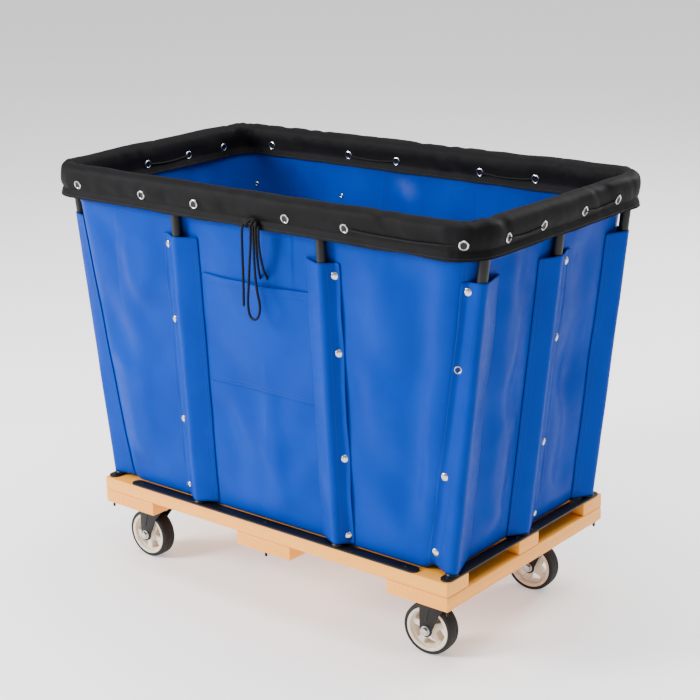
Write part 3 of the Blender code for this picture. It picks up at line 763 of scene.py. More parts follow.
def stitch_tree():
    """Lays thread stitches along every seam line, flat on the cloth that the line faces."""
    tree, names = tree_inputs("sew_stitches", [("Finish", "NodeSocketMaterial"), ("Pitch", "NodeSocketFloat"),
                                               ("Stitch Size", "NodeSocketVector")])
    given = add_node(tree, "NodeGroupInput")
    line = add_node(tree, "GeometryNodeMeshToCurve", {"Mesh": given.outputs["Geometry"]})
    beads = add_node(tree, "GeometryNodeResampleCurve", {"Curve": line.outputs[0],
                     "Length": given.outputs["Pitch"]}, mode="LENGTH")
    facing = add_node(tree, "GeometryNodeInputNamedAttribute", {"Name": "facing"}, data_type="FLOAT_VECTOR")
    tangent = add_node(tree, "GeometryNodeInputTangent")
    upright = add_node(tree, "FunctionNodeAlignRotationToVector", {"Vector": facing.outputs[0]}, axis="Z")
    along = add_node(tree, "FunctionNodeAlignRotationToVector", {"Rotation": upright.outputs[0],
                     "Vector": tangent.outputs[0]}, axis="X", pivot_axis="Z")
    ball = add_node(tree, "GeometryNodeMeshIcoSphere", {"Radius": 1.0, "Subdivisions": 1})
    inputs = {"Points": beads.outputs[0], "Instance": ball.outputs[0], "Rotation": along.outputs[0],
              "Scale": given.outputs["Stitch Size"]}
    copies = add_node(tree, "GeometryNodeInstanceOnPoints", inputs)
    real = add_node(tree, "GeometryNodeRealizeInstances", {0: copies.outputs[0]})
    painted = add_node(tree, "GeometryNodeSetMaterial", {"Geometry": real.outputs[0],
                       "Material": given.outputs["Finish"]})
    add_node(tree, "NodeGroupOutput", {0: painted.outputs[0]})
    return tree, names


HARDWARE_TREE, HARDWARE_INPUTS = hardware_tree()
STITCH_TREE, STITCH_INPUTS = stitch_tree()


def facing_mesh(name, spots, edges=()):
    """Points, each with the direction that it faces."""
    mesh = bpy.data.meshes.new(name)
    mesh.from_pydata([tuple(place) for place, _facing in spots], list(edges), [])
    attribute = mesh.attributes.new("facing", "FLOAT_VECTOR", "POINT")
    attribute.data.foreach_set("vector", [value for _place, facing in spots for value in facing])
    return mesh


def grow(name, mesh, tree, values):
    holder = add_object(name + "_points", mesh)
    step = holder.modifiers.new("grow", "NODES")
    step.node_group = tree
    for identifier, value in values.items():
        step[identifier] = value
    bpy.context.view_layer.update()
    return baked(holder, name)


def set_hardware(name, part_mesh, spots, finish, body, slot, seed=1, angle=35):
    """Copies of one small part on the given (place, facing) spots, as one plain mesh."""
    part = add_object(name + "_part", part_mesh)
    values = {"Part": part, "Finish": finish, "Size": 1.0, "Turn Seed": seed}
    mesh = grow(name, facing_mesh(name, spots), HARDWARE_TREE,
                {HARDWARE_INPUTS[key]: value for key, value in values.items()})
    bpy.data.objects.remove(part, do_unlink=True)
    shade(mesh, angle)
    return place(add_object(name, mesh, finish), body, slot)


def sew(name, seams, finish, body, slot, pitch=BLUE_THREAD_PITCH, size=(1.7 * MM, 0.45 * MM, 0.35 * MM)):
    """Stitches along seams, each a list of (place, facing) spots."""
    spots, edges = [], []
    for seam in seams:
        start = len(spots)
        spots += seam
        edges += [(i, i + 1) for i in range(start, len(spots) - 1)]
    values = {"Finish": finish, "Pitch": pitch, "Stitch Size": size}
    mesh = grow(name, facing_mesh(name, spots, edges), STITCH_TREE,
                {STITCH_INPUTS[key]: value for key, value in values.items()})
    mesh.shade_smooth()
    return place(add_object(name, mesh, finish), body, slot)


# ---------------------------------------------------------------------------
# Uprights: where each stands, read from the frame
# ---------------------------------------------------------------------------
class Upright:
    """A leaning tube: its axis, the side of the liner it stands on and its sleeve's snapped way."""

    def __init__(self, name):
        self.name = name
        points = node_points(name + "_upright")
        low, high = points[:, 2].min(), points[:, 2].max()
        self.foot = Vector(points[points[:, 2] < low + 4 * MM].mean(axis=0))
        self.head = Vector(points[points[:, 2] > high - 4 * MM].mean(axis=0))
        self.quarter = {"front": 0, "right": 1, "rear": 2, "left": 3}[name.split("_")[0]]
        if name.split("_")[0] == "front" or name.split("_")[0] == "rear":
            snap_way = Vector((math.copysign(1, self.foot.x), 0))
        else:
            snap_way = Vector((0, -1 if name == "right_front" else 1))
        turn = self.quarter * math.pi / 2
        self.along = Vector((math.cos(turn), math.sin(turn)))
        self.out = Vector((math.sin(turn), -math.cos(turn)))
        self.snap_sign = 1 if self.along.dot(snap_way) > 0 else -1
        self.at_corner = abs(self.foot.y) > 0.2 and self.quarter % 2 == 1

    def axis_at(self, z):
        return self.foot.lerp(self.head, (z - self.foot.z) / (self.head.z - self.foot.z))

    def position_at(self, z):
        """Distance along the liner's side, from its middle, of the point behind the upright."""
        return self.axis_at(z).xy.dot(self.along)


UPRIGHTS = [Upright(node[:-len("_upright")]) for node in sorted(frame["nodes"]) if node.endswith("_upright")]


# ---------------------------------------------------------------------------
# Liner
# ---------------------------------------------------------------------------
LINER_SPACING = 13.0 * MM
BOTTOM_ROUND = 10.0 * MM       # where a wall turns under
CORNER_ROUND = 42.0 * MM       # the same at the sewn bottom corners
HEM_DEPTH = 66.0 * MM          # hem stitched this far below the liner's top
# soft folds pressed in by hanging: side, start and end as (distance along, height), width, depth
FOLDS = [
    (0, (0.392, 0.790), (0.330, 0.300), 0.034, -0.0096),
    (0, (0.440, 0.760), (0.385, 0.330), 0.026, 0.0072),
    (0, (0.300, 0.740), (0.262, 0.420), 0.030, 0.0040),
    (0, (-0.400, 0.770), (-0.300, 0.560), 0.030, -0.0064),
    (0, (-0.290, 0.700), (-0.340, 0.300), 0.040, 0.0080),
    (0, (-0.365, 0.450), (-0.395, 0.240), 0.020, 0.0072),
    (0, (0.020, 0.440), (0.040, 0.215), 0.020, 0.0056),
    (0, (-0.090, 0.400), (-0.060, 0.230), 0.030, -0.0048),
    (1, (-0.130, 0.760), (-0.100, 0.260), 0.030, 0.0072),
    (1, (-0.050, 0.600), (-0.036, 0.260), 0.014, 0.0096),
    (1, (0.110, 0.760), (0.130, 0.250), 0.034, -0.0080),
    (2, (-0.300, 0.780), (-0.340, 0.460), 0.028, 0.0096),
    (2, (0.060, 0.780), (-0.050, 0.500), 0.034, -0.0112),
    (2, (0.360, 0.790), (0.300, 0.520), 0.024, 0.0088),
    (2, (0.000, 0.520), (0.080, 0.260), 0.040, 0.0080),
    (3, (-0.110, 0.760), (-0.090, 0.300), 0.030, -0.0088),
    (3, (0.110, 0.780), (0.070, 0.420), 0.026, 0.0096),
]

FOLD_STRENGTH = 1.3


def fold_depth(quarter, along, z):
    """How far the folds push a side of the liner out; none under the cover, which holds it flat."""
    total = 0.0
    below_cover = min(1.0, max(0.0, (RAIL_Z - 52 * MM - z) / (45 * MM)))
    point = Vector((along, z))
    for side, start, end, width, depth in FOLDS:
        if side != quarter:
            continue
        start, end = Vector(start), Vector(end)
        share = (point - start).dot(end - start) / (end - start).length_squared
        near = start.lerp(end, min(1.0, max(0.0, share)))
        fade = 1.0 if 0 <= share <= 1 else math.exp(-((point - near).length / 0.05) ** 2)
        total += FOLD_STRENGTH * depth * fade * math.exp(-((point - near).length / width) ** 2)
    return total * below_cover


def held_by_upright(point):
    """1 behind an upright's sleeve, falling to 0 midway between uprights."""
    held = 0.0
    for upright in UPRIGHTS:
        away = (Vector(point[:2]) - upright.axis_at(point[2]).xy).length
        held = max(held, 1.0 - min(1.0, max(0.0, (away - 0.045) / 0.045)))
    return held


def liner_rows(layout):
    """Rows of wall points with their outward directions, from the floor's edge up to the mouth."""
    bend_steps = 4
    heights = [step / 46 for step in range(47)]
    rows = []
    for step in range(bend_steps):
        rows.append([("bend", math.pi / 2 * step / bend_steps)] * len(layout))
    for share in heights:
        rows.append([("wall", share)] * len(layout))
    points, normals = [], []
    for row in rows:
        row_points, row_normals = [], []
        for (run, share), (kind, value) in zip(layout, row):
            cornerness = math.sin(share * math.pi) if run % 2 else 0.0
            radius = BOTTOM_ROUND + (CORNER_ROUND - BOTTOM_ROUND) * cornerness
            if kind == "bend":
                z = LINER_BOTTOM + radius * (1 - math.cos(value))
                inset = radius * (1 - math.sin(value))
            else:
                z = LINER_BOTTOM + radius + (LINER_TOP - LINER_BOTTOM - radius) * value
                inset = 0.0
            point, normal = run_spot(liner_size(z), run, share)
            point = point - normal * inset
            row_points.append((point.x, point.y, z))
            row_normals.append((normal.x, normal.y, 0.0))
        points.append(row_points)
        normals.append(row_normals)
    return np.array(points), np.array(normals), bend_steps


def drape(points, held, growth, frames):
    """Cloth simulation of a closed wall: cut a little too large, it settles into soft folds."""
    rows, columns = points.shape[:2]
    mesh = grid_mesh("drape", points, [0.0] * (columns + 1), [0.0] * rows, True)
    sheet = add_object("drape", mesh)
    group = sheet.vertex_groups.new(name="held")
    for index, weight in enumerate(held.ravel()):
        group.add([index], float(weight), "REPLACE")
    cloth = sheet.modifiers.new("drape", "CLOTH")
    settings = cloth.settings
    settings.quality = 6
    settings.mass = 0.55
    settings.tension_stiffness = 40
    settings.compression_stiffness = 40
    settings.shear_stiffness = 25
    settings.bending_stiffness = 15
    settings.air_damping = 2
    settings.vertex_group_mass = "held"
    settings.pin_stiffness = 1.0
    settings.shrink_min = -growth
    settings.shrink_max = -growth
    cloth.collision_settings.use_collision = False
    cloth.collision_settings.use_self_collision = False
    cloth.point_cache.frame_start = 1
    cloth.point_cache.frame_end = frames
    scene = bpy.context.scene
    for step in range(1, frames + 1):
        scene.frame_set(step)
    graph = bpy.context.evaluated_depsgraph_get()
    settled = np.zeros(rows * columns * 3)
    sheet.evaluated_get(graph).data.vertices.foreach_get("co", settled)
    bpy.data.objects.remove(sheet, do_unlink=True)
    scene.frame_set(1)
    return settled.reshape(rows, columns, 3)


def softened(field, passes):
    """Even out a field over the ring-shaped grid: heavy coated cloth makes broad folds only."""
    for _ in range(passes):
        field = (np.roll(field, 1, 1) + 2 * field + np.roll(field, -1, 1)) / 4
        inner = (field[:-2] + 2 * field[1:-1] + field[2:]) / 4
        field = np.concatenate([field[:1], inner, field[-1:]])
    return field


def build_liner():
    layout = ring_layout(LINER_MOUTH, LINER_SPACING)
    points, normals, bend_steps = liner_rows(layout)
    held_rows = np.zeros(points.shape[:2])
    grip = np.array([[held_by_upright(point) for point in row] for row in points])
    for r in range(len(points)):
        z = points[r, 0, 2]
        top = min(1.0, max(0.0, (z - (LINER_TOP - 0.045)) / 0.015))
        bottom = 1.0 if r < bend_steps + 1 else 0.0
        held_rows[r] = np.maximum(max(top, bottom), np.where(grip[r] > 0.75, 1.0, 0.0))
    start = points.copy()
    for r, row in enumerate(points):
        for c, point in enumerate(row):
            free = 1.0 - held_rows[r, c]
            ripple = noise.noise(Vector(point) * 7.0) * 3.0 * MM
            start[r, c] = point + normals[r, c] * ripple * free
    settled = drape(start, held_rows, 0.012, 24)
    moves = softened(settled - points, 4)
    for r, row in enumerate(points):
        for c, (run, share) in enumerate(layout):
            point = points[r, c]
            move = moves[r, c]
            outward = float(move @ normals[r, c])
            sideways = np.clip(move - normals[r, c] * outward, -4 * MM, 4 * MM)
            quarter = run // 2 if share < 0.5 or run % 2 == 0 else (run // 2 + 1) % 4
            turn = quarter * math.pi / 2
            along = point[0] * math.cos(turn) + point[1] * math.sin(turn)
            fade = min(1.0, max(0.0, (point[2] - LINER_BOTTOM - 0.02) / 0.05))
            fade *= min(1.0, max(0.0, (LINER_TOP - 0.03 - point[2]) / 0.04))
            if run % 2 == 0:
                outward += fold_depth(quarter, along, point[2]) * fade
            most = 0.4 * MM + (1 - grip[r, c]) * 12.0 * MM
            least = -(3.0 * MM + (1 - grip[r, c]) * 11.0 * MM)
            outward = min(most, max(least, outward))
            floor_limit = 0.0 if point[2] < LINER_BOTTOM + 2 * MM else outward
            points[r, c] = point + normals[r, c] * floor_limit + sideways * np.array((1, 1, 0))
    across = ring_distances(LINER_MOUTH, layout)
    upward = [0.0]
    for low, high in zip(points, points[1:]):
        upward.append(upward[-1] + float(np.linalg.norm(high[5] - low[5])))
    mesh = grid_mesh("liner_bag", points, across, upward, True)
    close_floor(mesh, layout)
    mesh.shade_smooth()
    bag = thicken(add_object("liner_bag", mesh, VINYL), LINER_WALL)
    tree = BVHTree.FromObject(bag, bpy.context.evaluated_depsgraph_get())
    place(applied(bag), "root", "blue_vinyl", "vinyl_liner", "liner_floor")
    return bag, tree


def close_floor(mesh, layout):
    """Continue the bottom edge inwards over the deck and close it in the middle."""
    work = bmesh.new()
    work.from_mesh(mesh)
    work.verts.ensure_lookup_table()
    ring = [work.verts[i] for i in range(len(layout))]
    faces = []
    for inset in (0.045, 0.100, 0.150, 0.205):
        size = grown(LINER_FLOOR, -inset)
        fresh = []
        for run, share in layout:
            point, _normal = run_spot(size, run, share)
            ripple = abs(noise.noise(Vector((point.x, point.y, 0.0)) * 9.0)) * 2.5 * MM
            fresh.append(work.verts.new((point.x, point.y, LINER_BOTTOM + 0.4 * MM + ripple)))
        for i in range(len(layout)):
            j = (i + 1) % len(layout)
            faces.append(work.faces.new((ring[i], fresh[i], fresh[j], ring[j])))
        ring = fresh
    middle = work.faces.new(ring)
    faces += bmesh.ops.triangulate(work, faces=[middle])["faces"]
    uv = work.loops.layers.uv.active
    for face in faces:
        face.normal_update()
        if face.normal.z > 0:
            face.normal_flip()
        for loop in face.loops:
            loop[uv].uv = (loop.vert.co.x, loop.vert.co.y)
    work.to_mesh(mesh)
    work.free()


LINER, LINER_TREE = build_liner()


def on_liner(quarter, position, z, lift=0.0):
    """Point on the liner's outer face, lifted off it, and the outward direction there."""
    point, normal = walk(liner_size(z), quarter, position)
    out = Vector((normal.x, normal.y, 0))
    start = Vector((point.x, point.y, z)) + out * 0.05
    hit, face_normal, _index, _distance = LINER_TREE.ray_cast(start, -out, 0.12)
    if hit is None:
        hit = Vector((point.x, point.y, z))
        face_normal = out
    if face_normal.dot(out) < 0:
        face_normal = -face_normal
    return hit + out * lift, face_normal


# ---------------------------------------------------------------------------
# Sleeves: a flap sewn beside each upright, wrapped round it and snapped down
# ---------------------------------------------------------------------------
SLEEVE_CLOTH = 1.2 * MM
SLEEVE_COLUMNS = 26
SLEEVE_ROWS = 60
SNAP_HEIGHTS = {
    "front_left": (0.714, 0.566, 0.362, 0.222), "front_right": (0.712, 0.570, 0.370, 0.218),
    "right_front": (0.720, 0.582, 0.382, 0.234), "right_middle": (0.714, 0.570, 0.366, 0.218),
}
PLAIN_SNAPS = (0.714, 0.569, 0.368, 0.222)
OPEN_SOCKET = ("right_front", 1)          # one stud stands undone there


def sleeve_widths(upright):
    """Distances from the upright's axis to the sewn edge, the snap line and the free edge."""
    widths = {"front_left": (0.042, 0.035, 0.045), "front_right": (0.044, 0.022, 0.032),
              "right_front": (0.060, 0.013, 0.025), "right_middle": (0.040, 0.047, 0.057),
              "left_front": (0.024, 0.034, 0.044)}
    return widths.get(upright.name, (0.044, 0.033, 0.043))


def hull_chain(points, first, last):
    """The part of the hull between two of its points that goes round the outside."""
    order = convex_hull_2d(points)
    if first not in order or last not in order:
        return [first, last]
    area = sum(points[a][0] * points[b][1] - points[b][0] * points[a][1]
               for a, b in zip(order, order[1:] + order[:1]))
    if area < 0:
        order.reverse()
    start = order.index(first)
    chain = order[start:] + order[:start]
    return chain[:chain.index(last) + 1]


def spaced(points, count):
    """The polyline read at evenly spaced places."""
    steps = [0.0]
    for a, b in zip(points, points[1:]):
        steps.append(steps[-1] + (b - a).length)
    read = []
    index = 0
    for i in range(count):
        target = steps[-1] * i / (count - 1)
        while index < len(steps) - 2 and steps[index + 1] < target:
            index += 1
        share = (target - steps[index]) / max(steps[index + 1] - steps[index], 1e-9)
        read.append(points[index].lerp(points[index + 1], min(1.0, share)))
    return read


def sleeve_section(upright, z):
    """The taut path of the cloth at a height: sewn edge, round the upright, out to the free edge."""
    sewn, snap, edge = sleeve_widths(upright)
    sign = upright.snap_sign
    centre = upright.axis_at(z).xy
    position = upright.position_at(z)
    radius = TUBE_RADIUS + 0.9 * MM
    wall = []
    count = 10
    for step in range(count + 1):
        offset = -sewn + (sewn + snap) * step / count
        point, _facing = on_liner(upright.quarter, position + sign * offset, z, 1.0 * MM)
        wall.append(point.xy)
    rounds = []
    for step in range(28):
        angle = 2 * math.pi * step / 28
        rounds.append(centre + Vector((math.cos(angle), math.sin(angle))) * radius)
    points = wall + rounds
    first, last = (0, count) if sign > 0 else (count, 0)
    chain = [Vector(points[i]) for i in hull_chain([tuple(p) for p in points], first, last)]
    if sign < 0:
        chain.reverse()
    flat = []
    for step in range(1, 4):
        offset = snap + (edge - snap) * step / 3
        point, _facing = on_liner(upright.quarter, position + sign * offset, z, 1.0 * MM)
        flat.append(point.xy)
    return spaced(chain + flat, SLEEVE_COLUMNS)


def snap_heights(name):
    return SNAP_HEIGHTS.get(name, PLAIN_SNAPS)


def gape(name, z):
    """0 at a fastened snap, up to 1 between snaps."""
    heights = [h for i, h in enumerate(snap_heights(name)) if (name, i) != OPEN_SOCKET]
    near = min(abs(z - h) for h in heights)
    return min(1.0, max(0.0, (near - 0.012) / 0.055))


def build_sleeve(upright, seed):
    low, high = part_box(upright.name + "_sleeve")
    outward = Vector((upright.out.x, upright.out.y, 0))
    rows = []
    levels = [low.z + (high.z - low.z) * r / (SLEEVE_ROWS - 1) for r in range(SLEEVE_ROWS)]
    for z in levels:
        section = sleeve_section(upright, z)
        row = []
        for c, point in enumerate(section):
            share = c / (SLEEVE_COLUMNS - 1)
            away = (point - upright.axis_at(z).xy).normalized()
            slack = noise.noise(Vector((share * 2.0 + seed * 3.1, z * 9.0, seed))) * 1.6 * MM
            slack = abs(slack) * math.sin(share * math.pi) ** 0.5
            lift = 3.2 * MM * gape(upright.name, z) * max(0.0, (share - 0.72) / 0.28) ** 1.5
            pucker = 1.6 * MM * gape(upright.name, z) * math.exp(-((share - 0.22) / 0.12) ** 2)
            pushed = point + away * (slack + pucker) + Vector(outward.xy) * lift
            row.append((pushed.x, pushed.y, z + 1.2 * MM * noise.noise(Vector((share * 3, seed, z)))))
        if upright.snap_sign < 0:
            row.reverse()
        rows.append(row)
    points = np.array(rows)
    width = sum(sleeve_widths(upright)[::2]) + 0.018
    across = [width * c / (SLEEVE_COLUMNS - 1) for c in range(SLEEVE_COLUMNS)]
    mesh = grid_mesh(upright.name + "_flap", points, across, levels, False)
    mesh.shade_smooth()
    flap = thicken(add_object(upright.name + "_flap", mesh, VINYL), SLEEVE_CLOTH, offset=1.0)
    tree = BVHTree.FromObject(flap, bpy.context.evaluated_depsgraph_get())
    place(applied(flap), "root", "blue_vinyl", upright.name + "_sleeve")
    return tree


def on_sleeve(upright, tree, offset, z, lift):
    """Point on a sleeve's face at a distance from the upright along the wall."""
    point, normal = walk(liner_size(z), upright.quarter, upright.position_at(z) + upright.snap_sign * offset)
    out = Vector((normal.x, normal.y, 0))
    start = Vector((point.x, point.y, z)) + out * 0.06
    hit, face_normal, _index, _distance = tree.ray_cast(start, -out, 0.08)
    if hit is None:
        return None
    if face_normal.dot(out) < 0:
        face_normal = -face_normal
    return hit + face_normal * lift, face_normal


def build_sleeves():
    """All sleeves; returns their stitch lines and where their snaps sit."""
    seams, snaps, backs, sockets = [], [], [], []
    for seed, upright in enumerate(UPRIGHTS):
        tree = build_sleeve(upright, seed + 1)
        low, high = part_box(upright.name + "_sleeve")
        sewn, snap, edge = sleeve_widths(upright)
        for offset in (edge - 3.5 * MM, snap - 9 * MM, -(sewn - 4 * MM), -(sewn - 11 * MM)):
            seam = []
            for step in range(60):
                z = low.z + 5 * MM + (high.z - low.z - 10 * MM) * step / 59
                spot = on_sleeve(upright, tree, offset, z, 0.15 * MM)
                if spot is not None:
                    seam.append(spot)
            seams.append(seam)
        for index, z in enumerate(snap_heights(upright.name)):
            spot = on_sleeve(upright, tree, snap, z, 0.0)
            if spot is None:
                continue
            (sockets if (upright.name, index) == OPEN_SOCKET else snaps).append(spot)
            position = upright.position_at(z) + upright.snap_sign * snap
            place_on, facing = on_liner(upright.quarter, position, z)
            backs.append((place_on - facing * (LINER_WALL + 0.2 * MM), -facing))
    return seams, snaps, backs, sockets


SLEEVE_SEAMS, SNAP_SPOTS, SNAP_BACKS, SOCKET_SPOTS = build_sleeves()


def snap_cap():
    """Domed cap of a 15 mm press snap with a rolled edge."""
    radius = 7.3 * MM
    profile = [(0, 2.9 * MM), (2.6 * MM, 2.7 * MM), (4.8 * MM, 2.2 * MM), (6.2 * MM, 1.5 * MM),
               (radius, 1.0 * MM), (radius + 0.3 * MM, 0.5 * MM), (radius, -0.6 * MM), (0, -0.6 * MM)]
    return turned("snap_cap", profile, 24)


def snap_ring(outer, inner, height, depth):
    """An eyelet or socket ring: a rolled washer round an open barrel."""
    middle = (outer + inner) / 2
    profile = [(inner, -depth), (inner, height * 0.55), (inner + 0.25 * (outer - inner), height * 0.92),
               (middle, height), (outer - 0.2 * (outer - inner), height * 0.8), (outer, height * 0.25),
               (outer - 0.2 * MM, -depth)]
    return turned("snap_ring", profile, 28, closed=True)


def dark_disc(radius):
    """Painted shade: a near-black shallow dish that stands in for the shaded hole inside an eyelet."""
    return turned("dark_disc", [(0, 0.15 * MM), (radius * 0.7, 0.25 * MM), (radius, 0.5 * MM),
                                (radius, -0.5 * MM), (0, -0.5 * MM)], 24)


SOCKET_RADIUS = 7.4 * MM
set_hardware("snap_caps", snap_cap(), SNAP_SPOTS, NICKEL, "root", "zinc_plate", seed=4)
set_hardware("snap_sockets", snap_ring(SOCKET_RADIUS, 4.9 * MM, 1.9 * MM, 0.6 * MM), SOCKET_SPOTS,
             NICKEL, "root", "zinc_plate")
# painted shade: a near-black disc in each open socket stands in for the shade in its hole
set_hardware("snap_socket_holes", dark_disc(5.0 * MM), SOCKET_SPOTS, PAINTED_HOLE_SHADE, "root", "black_steel")
set_hardware("snap_backs", snap_ring(5.0 * MM, 1.9 * MM, 1.4 * MM, 0.5 * MM), SNAP_BACKS, NICKEL, "root",
             "zinc_plate")
# painted shade: a near-black disc in each snap back stands in for the shade in its hole
set_hardware("snap_back_holes", dark_disc(2.0 * MM), SNAP_BACKS, PAINTED_HOLE_SHADE, "root", "black_steel")


# ---------------------------------------------------------------------------
# Liner hem, corner seams and front pocket
# ---------------------------------------------------------------------------
def strip_on_liner(name, positions, levels, lift, closed, mouth=None):
    """A second layer of cloth lying on the liner; positions are (side, distance along)."""
    rows = []
    for z in levels:
        row = []
        for quarter, position in positions:
            point, _normal = on_liner(quarter, position, z, lift)
            if mouth is not None:
                point += mouth(position, z)
            row.append(tuple(point))
        rows.append(row)
    points = np.array(rows)
    widths = np.linalg.norm(np.diff(points[0], axis=0), axis=1).cumsum()
    across = [0.0, *widths.tolist()]
    if closed:
        across.append(across[-1] + float(np.linalg.norm(points[0][0] - points[0][-1])))
    mesh = grid_mesh(name, points, across, [float(z) for z in levels], closed)
    mesh.shade_smooth()
    return add_object(name, mesh, VINYL), points


def side_positions(spacing):
    """(side, distance along from its middle) once round the liner's mouth."""
    positions = []
    straights = [LINER_MOUTH[quarter % 2] - LINER_MOUTH[2] for quarter in range(4)]
    bend = LINER_MOUTH[2] * math.pi / 2
    for quarter in range(4):
        count = round(2 * straights[quarter] / spacing)
        positions += [(quarter, straights[quarter] * (2 * step / count - 1)) for step in range(count)]
        count = max(8, round(bend / spacing))
        positions += [(quarter, straights[quarter] + bend * step / count) for step in range(count)]
    return positions


def build_hem():
    positions = side_positions(9 * MM)
    bottom = LINER_TOP - HEM_DEPTH
    hem, points = strip_on_liner("liner_hem", positions, [bottom, bottom + 1.0 * MM, bottom + 14 * MM,
                                                          bottom + 28 * MM], 0.25 * MM, True)
    thicken(hem, 0.9 * MM, levels=1, offset=1.0)
    tidy = applied(hem)
    place(tidy, "root", "blue_vinyl")
    seams = []
    for rise in (3.5 * MM,):
        seam = []
        for quarter, position in positions:
            place_on, facing = on_liner(quarter, position, bottom + rise, 1.3 * MM)
            seam.append((place_on, facing))
        seams.append(seam + seam[:1])
    return seams


def corner_seams():
    """Two rows of stitching down each corner, where the liner's panels are joined."""
    seams = []
    for quarter in range(4):
        for offset in (-3.5 * MM, 3.5 * MM):
            seam = []
            for step in range(48):
                z = LINER_BOTTOM + 0.035 + (LINER_TOP - HEM_DEPTH - LINER_BOTTOM - 0.04) * step / 47
                size = liner_size(z)
                position = size[quarter % 2] - size[2] + size[2] * math.pi / 4 + offset
                seam.append(on_liner(quarter, position, z, 0.15 * MM))
            seams.append(seam)
    return seams


POCKET_LOW, POCKET_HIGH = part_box("front_pocket")
POCKET_TOP = POCKET_HIGH.z + 10 * MM
POCKET_BOTTOM = POCKET_LOW.z
POCKET_LIFT = 0.5 * MM


def pocket_mouth(position, z):
    """The pocket's top edge stands a little off the wall, most where the cord is tucked in."""
    near_top = max(0.0, (z - (POCKET_TOP - 0.085)) / 0.085)
    span = (POCKET_HIGH.x - POCKET_LOW.x) / 2
    middle = (POCKET_HIGH.x + POCKET_LOW.x) / 2
    across = max(0.0, 1 - ((position - middle) / span) ** 2)
    tucked = math.exp(-((position - 0.0325) / 0.024) ** 2)
    return Vector((0, -1, 0)) * near_top ** 2 * (2.6 * MM * across + 6.2 * MM * tucked)


def build_pocket():
    columns = 34
    width = POCKET_HIGH.x - POCKET_LOW.x
    positions = [(0, POCKET_LOW.x + width * c / (columns - 1)) for c in range(columns)]
    levels = [POCKET_BOTTOM + (POCKET_TOP - POCKET_BOTTOM) * r / 29 for r in range(30)]
    panel, _points = strip_on_liner("pocket_panel", positions, levels, POCKET_LIFT, False, pocket_mouth)
    thicken(panel, 1.1 * MM, offset=1.0)
    place(applied(panel), "root", "blue_vinyl", "front_pocket")
    hem_levels = [POCKET_TOP - 15 * MM, POCKET_TOP - 14 * MM, POCKET_TOP - 7 * MM, POCKET_TOP + 0.5 * MM]
    hem, _points = strip_on_liner("pocket_hem", positions, hem_levels, POCKET_LIFT + 1.15 * MM, False,
                                  pocket_mouth)
    thicken(hem, 0.9 * MM, offset=1.0)
    place(applied(hem), "root", "blue_vinyl")
    face = POCKET_LIFT + 1.25 * MM
    seams = []
    for x in (POCKET_LOW.x + 4 * MM, POCKET_HIGH.x - 4 * MM):
        seams.append([on_liner(0, x, z, face) for z in levels[:-3]])
    for z in (POCKET_BOTTOM + 4 * MM, POCKET_BOTTOM + 10 * MM):
        seams.append([on_liner(0, x, z, face) for _side, x in positions])
    top_row = POCKET_TOP - 11.5 * MM
    top = []
    for _side, x in positions:
        spot, facing = on_liner(0, x, top_row, face + 0.95 * MM)
        top.append((spot + pocket_mouth(x, top_row), facing))
    seams.append(top)
    return seams


VINYL_SEAMS = SLEEVE_SEAMS + build_hem() + corner_seams() + build_pocket()
sew("vinyl_stitches", VINYL_SEAMS, BLUE_THREAD, "root", "blue_vinyl")


# ---------------------------------------------------------------------------
# Rim cover
# ---------------------------------------------------------------------------
COVER_CLOTH = 1.3 * MM
# outer face, from the outer flap's edge over the roll to the inner flap's edge: out, up (mm)
COVER_OUTER = [(17.6, -46.0), (17.2, -44.6), (16.2, -39.5), (14.9, -34.5), (13.0, -31.0), (13.3, -29.3),
               (15.2, -26.0), (17.0, -20.0), (18.0, -13.5), (18.4, -6.0)]
COVER_INNER = [(-18.2, -5.0), (-17.4, -11.0), (-15.8, -18.0), (-14.4, -26.0), (-13.6, -31.0),
               (-14.6, -35.0), (-15.6, -40.0), (-16.6, -45.0), (-16.8, -46.0)]
ROLL = 18.0


def cover_section():
    over = []
    for step in range(1, 12):
        angle = math.pi * step / 12
        over.append((ROLL * math.cos(angle), ROLL * math.sin(angle)))
    return [Vector((x * MM, z * MM)) for x, z in COVER_OUTER + over + COVER_INNER]


def wall_slope(normal):
    """How fast the liner's wall leans out as it rises, in a given outward direction."""
    rise = LINER_TOP - LINER_BOTTOM
    end = (LINER_MOUTH[0] - LINER_FLOOR[0]) / rise
    side = (LINER_MOUTH[1] - LINER_FLOOR[1]) / rise
    return end * abs(normal.x) ** 2 + side * abs(normal.y) ** 2


def cover_wrinkle(distance, across, corner):
    """Ripples of the padded cloth: slanting creases on the sides, tight gathers at the corners."""
    soft = noise.noise(Vector((distance * 13.0, across * 30.0, 1.7))) * 2.8
    slanted = distance + across * 0.55
    crease = noise.noise(Vector((slanted * 34.0, across * 9.0, 8.3)))
    crease = -max(0.0, crease - 0.20) * 9.5
    fine = noise.noise(Vector((distance * 75.0, across * 55.0, 3.1))) * 0.5
    gathers = math.sin(distance * 2 * math.pi / 0.015 + across * 25) * 1.6 * corner
    gathers += noise.noise(Vector((distance * 95.0, across * 20.0, 5.0))) * 3.0 * corner
    return (soft + crease + fine + gathers) * MM


